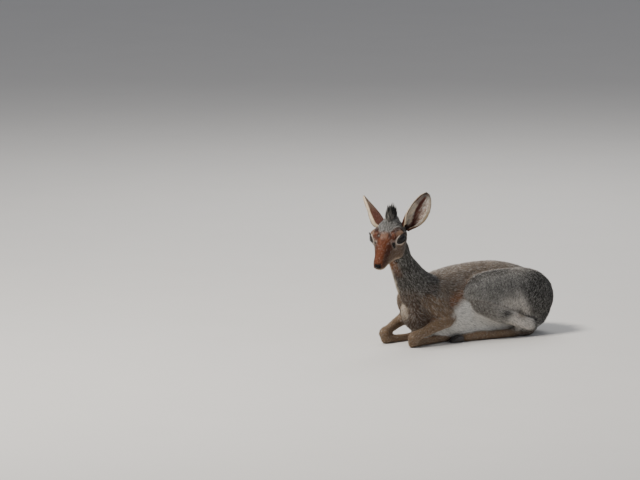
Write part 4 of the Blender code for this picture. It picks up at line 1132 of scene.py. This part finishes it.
# Half the angle that the cup takes up, which falls from its root to its tip.
def cupAt(t):
    return np.radians(np.interp(t, (0, 0.12, 0.26, 0.5, 1), (155, 132, 100, 72, 42)))


# The ear is a cup: middle + across * r sin(turn * cup) - opens * r cos(turn * cup),
# nearly a closed tube at its root and flatter to its tip.
def earSheet(side, t, turn, depth):
    run, across, opens = earAxes(side)
    root = fromHead(earOf(side)["at"])
    halfRoot = earForm["width"][0] * earForm["halfWidth"]
    half = np.interp(t, earForm["at"], earForm["width"]) * earForm["halfWidth"]
    cup = cupAt(t)
    radius = half / np.sin(np.minimum(cup, math.pi / 2))
    back = (-halfRoot + earForm["backSwell"] * np.sin(t * math.pi * 0.5)
            - earForm["tipBack"] * t ** 3)
    bow = np.array(earOf(side)["bow"]) * np.sin(t * math.pi)[..., None]
    middle = (root + run * (t * earForm["length"] - earForm["sunk"])[..., None]
              + opens * (back + radius + bow[..., 0])[..., None] + across * bow[..., 1:])
    r = np.maximum(radius - depth, 0.25)
    angle = turn * cup
    return (middle + across * (r * np.sin(angle))[..., None]
            - opens * (r * np.cos(angle))[..., None])


# Long hair along given paths, coloured root to tip from rows of shades.
def strandPiece(name, paths, out, width, shadesAlong, places, material, mixture=0.5):
    profile = np.interp(np.linspace(0, 1, paths.shape[1])[1:-1], (0, 0.3, 0.7, 1),
                        (0.8, 1.0, 0.8, 0.3))
    points, tris = spindles(paths, out, width, profile)
    per = points.shape[1]
    obj = rawPiece(name, points.reshape(-1, 3), tris)
    stations = [0] + [k for k in range(1, paths.shape[1] - 1) for _ in range(3)] + [
        paths.shape[1] - 1]
    paint(obj.data, "coat", np.clip(shadesAlong[:, stations], 0, 1).reshape(-1, 3))
    steps = [(0.5 * ((k + 1) % 3 - 1) * (0 < s < stations[-1]), s / stations[-1])
             for k, s in enumerate(stations)]
    bakePatch(obj, places, steps, tris)
    softNormals(obj, out, per, mixture)
    obj.data.materials.append(material)
    print(name, len(tris))
    return obj


# Bends a path from its root: root + way * s + bend * s squared, s from 0 to 1.
def bentPaths(roots, way, bend, stations):
    s = np.linspace(0, 1, stations)[None, :, None]
    return roots[:, None] + way[:, None] * s + bend[:, None] * s ** 2


# The back: rufous below, grey-brown above, dark at the tip, cream along the front margin.
def earBackShade(t, front, creamFrom):
    edge = np.interp(t, (0.1, 0.45, 0.95), creamFrom)
    return layered(np.tile(tint("earBack"), (len(t), 1)),
                   ("earGrey", ramp(t, 0.3, 0.72)),
                   ("neckDark", ramp(t, 0.62, 0.8) * ramp(front, 0.3, 0.8) * 0.6),
                   ("neckDark", ramp(t, 0.9, 0.97)),
                   ("earCream", ramp(front, edge - 0.05, edge + 0.03)))


# The inside: mauve-brown with dark folds, a grey rear margin, olive low on its rim.
def earSkinShade(t, front):
    return layered(np.tile(tint("earSkin"), (len(t), 1)),
                   ("earHair", ramp(front, 0.35, 0.6) * ramp(0.62 - t, 0, 0.15) * 0.8),
                   ("earRim", ramp(-front, 0.6, 0.75) * 0.9),
                   ("earOlive", ramp(-front, 0.8, 0.92) * ramp(0.66 - t, 0, 0.12)),
                   ("earFold", earFolds(t, front)),
                   ("bare", ramp(0.16 - t, 0, 0.08) * 0.8),
                   ("neckDark", ramp(t, 0.86, 0.95) * 0.8))


# Depth of the inner surface under the outer one: thinner to the tip and the rims.
def innerDepth(t, front):
    wall = np.interp(t, (0, 0.6, 1), (earForm["thickness"] * 1.4, earForm["thickness"], 0.9))
    ridge = 0.36 * (0.4 - earFolds(t, front)) * np.sin(np.clip(t * 1.15, 0, 1) * math.pi)
    return 0.6 + wall * (1 - 0.45 * front ** 6) + ridge


earHairs = {
    "seed": 31, "stations": 4,
    "back": {"count": 4200, "depth": 0.6, "length": 4.2, "rise": 0.22, "width": 0.5},
    "margin": {"count": 1300, "length": 4.0, "rise": 0.22, "width": 0.4},
    "streaks": {"count": 2500, "length": 5.5, "rise": 0.2, "width": 0.34},
    "brush": {"count": 900, "length": 9.5, "rise": 0.34, "width": 0.42},
    "fringe": {"count": 1500, "depth": 1.0, "length": 3.8, "rise": 0.45, "width": 0.36},
}


# Where the roots of one kind of hair stand: t along the ear, front across it.
def earRoots(kind, rng):
    n = earHairs[kind]["count"]
    if kind == "back":
        return rng.uniform(0.02, 0.985, n), rng.uniform(-1, 1, n)
    if kind == "margin":
        return rng.uniform(0.1, 0.97, n), np.where(rng.random(n) < 0.75, rng.uniform(-1, -0.6, n),
                                                   rng.uniform(0.8, 1, n))
    if kind == "brush":
        t = rng.uniform(0.08, 0.56, n)
        inner = np.interp(t, (0.08, 0.25, 0.4, 0.56), (-0.1, 0.04, 0.3, 0.45))
        return t, inner + (0.98 - inner) * rng.random(n)
    if kind == "fringe":
        return rng.uniform(0.04, 0.99, n), rng.choice((-1, 1), n) * rng.uniform(0.96, 1.0, n)
    t, front = rng.uniform(0.1, 0.9, 5 * n), rng.uniform(-0.72, 0.84, 5 * n)
    keep = rng.random(5 * n) > earFolds(t, front) * 1.5 + 0.1
    return t[keep][:n], front[keep][:n]


# Shade of each hair of one kind, with a brightness of its own.
def earHairShade(kind, t, front, creamFrom, rng):
    pale = (rng.random(len(t)) < 0.5)[:, None]
    if kind == "back":
        shade = earBackShade(t, front, creamFrom)
    elif kind == "streaks":
        shade = layered(np.where(pale, tint("earHair"), tint("earRim")),
                        ("earSkin", ramp(front, 0.2, 0.35) * ramp(t, 0.5, 0.6) * 0.5),
                        ("earFold", ramp(earFolds(t, front), 0.08, 0.34) * 0.95),
                        ("neckDark", ramp(t, 0.76, 0.9) * 0.6))
    elif kind == "brush":
        shade = np.where(pale, tint("earCream"), tint("earHair"))
    elif kind == "margin":
        shade = layered(np.tile(tint("earRim"), (len(t), 1)),
                        ("earOlive", ramp(-front, 0.75, 0.9) * ramp(0.66 - t, 0, 0.12)),
                        ("neckDark", ramp(t, 0.84, 0.94)))
    else:
        shade = layered(np.where(pale, tint("earRim"), tint("earOlive")),
                        ("earCream", (front > 0) * 0.9),
                        ("neckDark", ramp(t, 0.93, 0.98)))
    return shade * np.exp(rng.normal(0, 0.16, len(t)))[:, None]


# Hair leaves the sheet along it, turned by rise towards its open side and bending back.
def earHairPaths(kind, side, t, front, rng):
    form, across = earHairs[kind], earAxes(side)[1] * side
    run, _, opens = earAxes(side)
    inside = kind in ("margin", "streaks", "brush")
    depth = innerDepth(t, front) if inside else np.full(len(t), form["depth"])
    roots = earSheet(side, t, front * side, depth)
    further = earSheet(side, np.minimum(t + 0.03, 1.0), front * side, depth)
    way = unit(further - roots + run * 0.3)
    angle = (front * cupAt(t))[:, None]
    out = across * np.sin(angle) - opens * np.cos(angle)
    if inside:
        out = -out
    if kind == "fringe":
        edge = (across * np.cos(angle) + opens * np.sin(angle)) * np.sign(front)[:, None]
        way, out = unit(way * 0.9 + edge * 0.5), unit(edge + opens * 0.8)
    if kind == "streaks":
        slant = np.where(front < stemAt(t), -0.29 / branchSlope(t), 0.15)
        way = unit(way + across * slant[:, None])
        way = unit(way - out * (way * out).sum(1, keepdims=True))
    if kind == "brush":
        way = unit(way - across * 0.12)
    way = unit(way + np.cross(out, way) * rng.normal(0, 0.1, len(t))[:, None])
    shorter = np.interp(t, (0, 0.75, 1), (1, 0.8, 0.4))
    size = form["length"] * rng.uniform(0.7, 1.2, len(t)) * shorter
    lean = way * np.cos(form["rise"]) + out * np.sin(form["rise"])
    bend = (way - lean) * size[:, None] * 0.8 - opens * (size * 0.06)[:, None]
    paths = bentPaths(roots - out * 0.2, lean * size[:, None], bend, earHairs["stations"])
    return paths, out, form["width"] * rng.uniform(0.7, 1.2, len(t))


# The ear's skin: an outer and an inner sheet, 64 rings of 49 points each, joined at the rims.
def earPiece(side, word):
    t = np.linspace(0, 1, 64)[:, None] + np.zeros((1, 49))
    turn = np.linspace(-1, 1, 49)[None, :] + np.zeros((64, 1))
    outer = earSheet(side, t, turn, 0.6 + 0 * t)
    inner = earSheet(side, t, turn, innerDepth(t, turn * side))
    rings = np.concatenate((outer, inner[:, ::-1]), axis=1)
    ear = newPiece("ear_skin_" + word, *closedGrid(rings, crescent=True))
    t = np.concatenate((t, t), axis=1).ravel()
    front = np.concatenate((turn, turn[:, ::-1]), axis=1).ravel() * side
    isInner = (np.arange(len(t)) % 98 >= 49)[:, None]
    back = earBackShade(t, front, ears[word]["creamFrom"]) * 0.7
    paint(ear.data, "coat", np.where(isInner, earSkinShade(t, front), back))
    paint(ear.data, "bare", np.zeros(len(t)))
    return ear


# All kinds of hair of one ear in one piece.
def earCoat(side, word):
    rng = np.random.default_rng(earHairs["seed"] + side)
    rows = []
    for kind in ("back", "margin", "streaks", "brush", "fringe"):
        t, front = earRoots(kind, rng)
        paths, out, width = earHairPaths(kind, side, t, front, rng)
        base = earHairShade(kind, t, front, ears[word]["creamFrom"], rng)
        shade = np.stack([base * k for k in (0.7, 0.95, 1.05, 1.1)], axis=1)
        place = np.stack((0.25 + 0.22 * front + 0.5 * (kind != "back"), 0.03 + 0.94 * t), axis=1)
        rows.append((paths, out, width, shade, place))
    return strandPiece("coat_ear_" + word, *(np.concatenate(r) for r in zip(*rows)), longCoat)


earPieces, earCoats = {}, {}
for side, word in ((1, "left"), (-1, "right")):
    earPieces[word] = earPiece(side, word)
    earCoats[word] = earCoat(side, word)

# The crest: clumps of hair in a spiral over the crown, the tallest at its middle.
rng = np.random.default_rng(crest["seed"])
clumps, hairs = crest["clumps"], crest["hairs"]
k = np.arange(clumps)
outBy, spin = np.sqrt((k + 0.5) / clumps), k * math.pi * (3 - math.sqrt(5))
ahead, left = outBy * np.cos(spin), outBy * np.sin(spin)


# Height of the swell under the crest: half height * sqrt(1 - (ahead / a) squared - (left / b)
# squared).
def crownHeight(ahead, left):
    inside = 1 - (ahead / crest["radii"][0]) ** 2 - (left / crest["radii"][1]) ** 2
    return crest["radii"][2] * np.sqrt(np.maximum(inside, 0.02))


clumpRun = unit(np.stack((0.3 * ahead - 0.14, 0.3 * left + 0.06, np.ones(clumps)), 1)
                + rng.normal(0, 0.05, (clumps, 3)))
clumpLength = crest["rise"] * (1 - 0.3 * outBy ** 2 - 0.42 * outBy ** 4) * rng.uniform(
    0.72, 1.08, clumps)
pick = np.repeat(k, hairs)
spread = rng.normal(0, 1.15, (len(pick), 2))
ha = ahead[pick] * crest["halfLength"] + spread[:, 0]
hl = left[pick] * crest["halfWidth"] + spread[:, 1]
roots = np.stack((ha, hl, crownHeight(ha, hl) - 2.5), 1) + np.array(crest["at"])
tips = (np.stack((ahead * crest["halfLength"], left * crest["halfWidth"],
                  crownHeight(ahead * crest["halfLength"], left * crest["halfWidth"])), 1)
        + np.array(crest["at"]) + clumpRun * clumpLength[:, None])[pick]
tips += (rng.normal(0, 0.55, tips.shape)
         + clumpRun[pick] * rng.normal(-2.0, 1.8, len(pick))[:, None])
way = tips - roots
bend = np.stack((-2.4 * np.ones(len(pick)), 0.9 * left[pick], np.zeros(len(pick))), 1)
paths = bentPaths(roots, way - bend, bend, 5) @ headAxes + headAt
crestOut = unit(np.stack((ahead[pick] + 0.3, left[pick], np.full(len(pick), 0.15)), 1))
crestOut = crestOut @ headAxes
darkness = np.clip(0.75 * ramp(0.8 - outBy, 0, 0.35) + 0.1 + 0.8 * ramp(left, 0.2, 0.5)
                   - 0.5 * ramp(ahead, 0.25, 0.6), 0.06, 0.96)
base = np.tile(tint("crown"), (len(pick), 1)) * np.exp(rng.normal(0, 0.25, len(pick)))[:, None]
black = (rng.random(len(pick)) < darkness[pick])[:, None]
base = np.where(black, tint("neckDark") * 0.35, base)
pale = (rng.random(len(pick)) < 0.2 * (1 - darkness[pick]))[:, None]
base = np.where(pale, tint("earHair") * 0.8, base)
crestRows = np.stack([base * a for a in (0.8, 1.0, 1.0, 0.6, 0.4)], axis=1)
crestPlace = np.stack((0.5 + ha / 40, 0.5 + hl / 40), axis=1)
crestCoat = strandPiece("coat_crest", paths, crestOut, rng.uniform(0.35, 0.6, len(pick)),
                        crestRows, crestPlace, longCoat)


# Eyes: dark glossy balls with a brown iris and a pupil lying level with the eye's corners.
def eyeMaterial():
    made, tree, shader = newMaterial("eye", 0.12, 0.12)
    shader.inputs["Coat Weight"].default_value = 0.45
    shader.inputs["Coat IOR"].default_value = 1.33
    shader.inputs["Coat Roughness"].default_value = 0.02
    flecks = addNoise(tree, addAttribute(tree, "coat").outputs["Color"], 1400.0, 0.9)
    tree.links.new(flecks.outputs["Colour"], shader.inputs["Base Color"])
    return made


# Dark moist leather of the lid rims.
def lidMaterial():
    made, tree, shader = newMaterial("lid rim", 0.32, 0.5)
    leather = addNoise(tree, (*tint("bare"), 1.0), 1100.0, 0.9)
    tree.links.new(leather.outputs["Colour"], shader.inputs["Base Color"])
    addBump(tree, shader, leather.outputs["Height"], 0.35, 0.0003)
    return made


eyeForm = {"bulge": 0.315, "bulgeSpread": 0.5, "iris": 9.6, "pupilLength": 5.4,
           "pupilHeight": 3.1, "outerShade": (0.012, 0.009, 0.008),
           "irisShade": (0.012, 0.006, 0.003), "pupilShade": (0.002, 0.002, 0.003)}
lidForm = {"reach": 12.75, "thick": 0.75, "upperThicker": 0.25, "cornerThicker": 0.35,
           "cornerFrom": -8.5}
lashForm = {"count": 76, "from": -0.8, "to": 0.95, "reach": 13.1, "above": 0.3,
            "length": (2.2, 3.4), "width": 0.22, "stations": 4, "seed": 51}


# A ball with a swelling cornea: radius + bulge * exp(-(tilt / spread) ** 4), and its shades.
def eyeballPiece(word, centre, axes):
    tilt = np.linspace(0.004, math.pi - 0.004, 90)[:, None]
    angle = np.linspace(0, 2 * math.pi, 120, endpoint=False)[None, :]
    away = np.sin(tilt)
    radius = eye["radius"] + eyeForm["bulge"] * np.exp(-((tilt / eyeForm["bulgeSpread"]) ** 4))
    ball = np.stack((np.cos(tilt) + 0 * angle, away * np.cos(angle), away * np.sin(angle)), -1)
    points, faces = closedGrid(centre + ball * radius[..., None] @ axes)
    made = newPiece("eye_ball_" + word, points, faces)
    look, a, b = axes @ (points - centre).T
    reach = np.where(look > 0, np.hypot(a, b), 20.0)
    turn = np.arctan2(b, a)
    spokes = 0.5 + 0.5 * np.sin(turn * 37 + np.sin(turn * 5) * 3)
    iris = ramp(eyeForm["iris"] - reach, 0, 0.8)[:, None]
    shade = np.array(eyeForm["outerShade"]) * (1 - iris) + iris * (
        np.array(eyeForm["irisShade"]) * (0.65 + 0.5 * spokes)[:, None])
    offPupil = np.hypot(a / eyeForm["pupilLength"], b / eyeForm["pupilHeight"])
    pupil = ramp(1 - offPupil, -0.04, 0.1)[:, None]
    paint(made.data, "coat", shade * (1 - pupil) + pupil * np.array(eyeForm["pupilShade"]))
    made.data.materials.append(eyeSkin)
    return made


# A closed tube along the almond, on a ball round the eye: path + sideways * thick * cos
# + outwards * 0.8 * thick * sin, thicker above and at the outer corner.
def lidPiece(word, centre, axes):
    look, outer, upper = axes
    a, b = almond(46).T
    high = np.sqrt(np.maximum(lidForm["reach"] ** 2 - a ** 2 - b ** 2, 1.0))
    path = centre + look * high[:, None] + outer * a[:, None] + upper * b[:, None]
    outwards = unit(path - centre)
    sidewards = np.cross(unit(np.roll(path, -1, axis=0) - np.roll(path, 1, axis=0)), outwards)
    around = np.linspace(0, 2 * math.pi, 12, endpoint=False)
    thick = (lidForm["thick"]
             + lidForm["upperThicker"] * (b > 0) * (1 - (a / eye["halfLength"]) ** 2)
             + lidForm["cornerThicker"] * (a < lidForm["cornerFrom"]))[:, None, None]
    ring = (path[:, None] + sidewards[:, None] * thick * np.cos(around)[None, :, None]
            + outwards[:, None] * thick * 0.8 * np.sin(around)[None, :, None])
    n, m = ring.shape[:2]
    i, j = np.arange(n)[:, None] * m, np.arange(m)[None, :]
    following, across = (i + m) % (n * m), (j + 1) % m
    quads = np.stack((i + j, i + across, following + across, following + j), -1).reshape(-1, 4)
    made = newPiece("lid_rim_" + word, ring.reshape(-1, 3), quads.tolist())
    made.data.materials.append(lidSkin)
    return made


# Lashes stand on the upper lid, lean outwards and curl up.
def lashPiece(word, side, centre, axes):
    look, outer, upper = axes
    rng = np.random.default_rng(lashForm["seed"] + side)
    count = lashForm["count"]
    s = rng.uniform(lashForm["from"], lashForm["to"], count)
    a, b = s * eye["halfLength"], upperLid(s) + lashForm["above"]
    high = np.sqrt(lashForm["reach"] ** 2 - a ** 2 - b ** 2)
    base = centre + look * high[:, None] + outer * a[:, None] + upper * b[:, None]
    size = rng.uniform(*lashForm["length"], count)[:, None]
    way = unit(look * 0.95 + upper * 0.12 + outer * (0.25 + 0.5 * s)[:, None]
               + rng.normal(0, 0.08, (count, 3))) * size
    paths = bentPaths(base, way, (upper * 0.35 - look * 0.15) * size, lashForm["stations"])
    rows = np.tile(tint("bare") * 0.6, (count, lashForm["stations"], 1))
    place = np.stack((0.5 + s * 0.4, 0 * s + 0.5), 1)
    return strandPiece("lashes_" + word, paths, np.tile(upper, (count, 1)),
                       np.full(count, lashForm["width"]), rows, place, longCoat, 0.2)


eyeSkin, lidSkin = eyeMaterial(), lidMaterial()
eyePieces, lidPieces, lashPieces = {}, {}, {}
for side, word in ((1, "left"), (-1, "right")):
    centre, axes = fromHead(np.array(eye["at"]) * (1, side, 1)), eyeAxes(side)
    eyePieces[word] = eyeballPiece(word, centre, axes)
    lidPieces[word] = lidPiece(word, centre, axes)
    lashPieces[word] = lashPiece(word, side, centre, axes)
    earPieces[word].data.materials.append(skin.data.materials[0])
print("eyes", len(eyePieces))

hoof = {"length": 25, "halfWidth": 4.1, "halfHeight": 6.2, "spread": 4.9}
feet = {
    "hind": {"start": (-59.5, -54, 6.2), "run": (-1.0, 0.04, -0.05)},
    "fore": {"start": (-19.5, 23.7, 6.0), "run": (-1.0, -0.08, -0.05)},
}


# Banded horn, worn in patches.
def hoofMaterial():
    made, tree, shader = newMaterial("hoof horn", 0.42, 0.5)
    place = tree.nodes.new("ShaderNodeTexCoord")
    bands = addNode(tree, "ShaderNodeTexWave", Scale=160.0, Distortion=4.0, Detail=2.0)
    tree.links.new(place.outputs["Object"], bands.inputs["Vector"])
    shadeRamp = tree.nodes.new("ShaderNodeValToRGB")
    shadeRamp.color_ramp.elements[0].color = (0.014, 0.011, 0.010, 1)
    shadeRamp.color_ramp.elements[1].color = (0.055, 0.045, 0.038, 1)
    tree.links.new(bands.outputs["Fac"], shadeRamp.inputs["Fac"])
    worn = addNoise(tree, shadeRamp.outputs["Color"], 260.0, 0.8)
    tree.links.new(worn.outputs["Colour"], shader.inputs["Base Color"])
    addBump(tree, shader, bands.outputs["Fac"], 0.25, 0.0004)
    return made


hornSkin = hoofMaterial()


# A pointed toe: superellipses whose half width and height follow profiles, with growth rings.
def hoofRings(start, run, offset):
    run = unit(np.array(run, float))
    side = unit(np.array((-run[1], run[0], 0.0)))
    up = np.cross(run, side)
    up = up * np.sign(up[2])
    t = np.linspace(0, 1, 34)
    ringed = 1 + 0.02 * np.sin(t * 55) * (t > 0.2)
    keys = (0, 0.15, 0.45, 0.8, 1)
    wide = hoof["halfWidth"] * np.interp(t, keys, (0.7, 0.95, 1, 0.6, 0.14)) * ringed
    high = hoof["halfHeight"] * np.interp(t, keys, (0.7, 1, 0.92, 0.52, 0.16)) * ringed
    drop = -hoof["halfHeight"] * np.interp(t, (0, 0.45, 1), (0, 0.06, 0.72))
    lean = -np.sign(offset) * 1.4 * t ** 2
    angle = np.linspace(0, 2 * math.pi, 36, endpoint=False)
    centre = (np.array(start, float) + run * (t * hoof["length"])[:, None]
              + side * (offset + lean)[:, None] + up * drop[:, None])
    rings = (centre[:, None] + side * (wide[:, None] * power(np.cos(angle), 2.6))[:, :, None]
             + up * (high[:, None] * power(np.sin(angle), 2.6))[:, :, None])
    rings[:, :, 2] = np.maximum(rings[:, :, 2], 0.0)
    return rings


hoofPieces = {}
for side, word in ((1, "left"), (-1, "right")):
    foreStart = fromBreast([feet["fore"]["start"]], side)[0]
    turned = fromBreast([(0, 0, 0), feet["fore"]["run"]], side)
    spans = {"fore": (foreStart, turned[1] - turned[0]),
             "hind": (onSide([feet["hind"]["start"]], side)[0],
                      onSide([feet["hind"]["run"]], side)[0])}
    for foot, (start, run) in spans.items():
        for place, offset in (("outer", hoof["spread"]), ("inner", -hoof["spread"])):
            node = foot + "_hoof_" + place + "_" + word
            toe = newPiece("horn_" + node, *closedGrid(hoofRings(start, run, offset)))
            toe.data.materials.append(hornSkin)
            hoofPieces[node] = toe
print("hooves", len(hoofPieces))


# Floor, camera and lights.
def floorMaterial():
    made, tree, shader = newMaterial("studio floor", 0.85, 0.2)
    noise = addNoise(tree, (0.62, 0.60, 0.57, 1.0), 6.0, 0.05)
    tree.links.new(noise.outputs["Colour"], shader.inputs["Base Color"])
    return made


floor = newPiece("floor", np.array(((-9, -9, 0), (9, -9, 0), (9, 14, 0), (-9, 14, 0))) * 1000,
                 [(0, 1, 2, 3)], smooth=False)
floor.data.materials.append(floorMaterial())

view = {"azimuth": math.radians(-30), "elevation": math.radians(8), "distance": 12.0,
        "aside": -0.27125, "above": 0.16625, "lens": 385.7, "sensor": 36.0, "clipEnd": 100.0}
a, e = view["azimuth"], view["elevation"]
right = np.array((math.cos(a), math.sin(a), 0.0))
backwards = np.array((math.sin(a) * math.cos(e), -math.cos(a) * math.cos(e), math.sin(e)))
above = np.cross(backwards, right)
target = right * view["aside"] + above * view["above"]
camera = bpy.data.objects.new("camera", bpy.data.cameras.new("camera"))
bpy.context.scene.collection.objects.link(camera)
turned = np.eye(4)
turned[:3, 0], turned[:3, 1], turned[:3, 2] = right, above, backwards
turned[:3, 3] = target + backwards * view["distance"]
camera.matrix_world = Matrix(turned.tolist())
camera.data.lens = view["lens"]
camera.data.sensor_width = view["sensor"]
camera.data.clip_end = view["clipEnd"]
bpy.context.scene.camera = camera


# A square light at a place, turned to the origin.
def areaLight(name, away, energy, size, warmth):
    data = bpy.data.lights.new(name, "AREA")
    data.energy, data.size, data.color = energy, size, warmth
    light = bpy.data.objects.new(name, data)
    bpy.context.scene.collection.objects.link(light)
    aim = unit(np.array(away, float))
    aside = unit(np.cross((0.0, 0.0, 1.0), aim))
    placed = np.eye(4)
    placed[:3, 0], placed[:3, 1], placed[:3, 2] = aside, np.cross(aim, aside), aim
    placed[:3, 3] = np.array(away, float)
    light.matrix_world = Matrix(placed.tolist())


# Where each light stands, to the right, back to the camera and up, with its energy, size and
# warmth.
lights = {
    "key": (-1.5, 1.0, 2.3, 120.0, 0.8, (1.0, 0.96, 0.9)),
    "fill": (2.4, 1.6, 1.2, 12.0, 2.0, (0.9, 0.95, 1.0)),
    "back": (0.0, -2.0, 2.2, 30.0, 1.4, (1.0, 1.0, 1.0)),
}
for name, (aside, behind, high, energy, size, warmth) in lights.items():
    areaLight(name, right * aside + backwards * behind + np.array((0, 0, high)), energy, size,
              warmth)
sky = {"shade": (0.86, 0.9, 1.0, 1.0), "strength": 0.32}
world = bpy.data.worlds.new("studio")
bpy.context.scene.world = world
world.use_nodes = True
background = world.node_tree.nodes["Background"]
background.inputs["Color"].default_value = sky["shade"]
background.inputs["Strength"].default_value = sky["strength"]

# The CAD parts that the pieces replace are hidden, and every piece hangs from the body root.
flesh = ["torso", "neck", "head", "nose", "tail"]
flesh += [key + "_" + word for key in ("thigh", "shank", "hind_cannon", "forearm", "fore_cannon")
          for word in ("left", "right")]
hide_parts(*flesh)
for word in ("left", "right"):
    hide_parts("eye_" + word)
    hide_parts("ear_" + word)
for node, toe in hoofPieces.items():
    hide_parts(node)
for piece in [skin, crestCoat, *coats, *eyePieces.values(), *earPieces.values(),
              *earCoats.values(), *lidPieces.values(), *lashPieces.values(),
              *hoofPieces.values()]:
    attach(piece, "root")
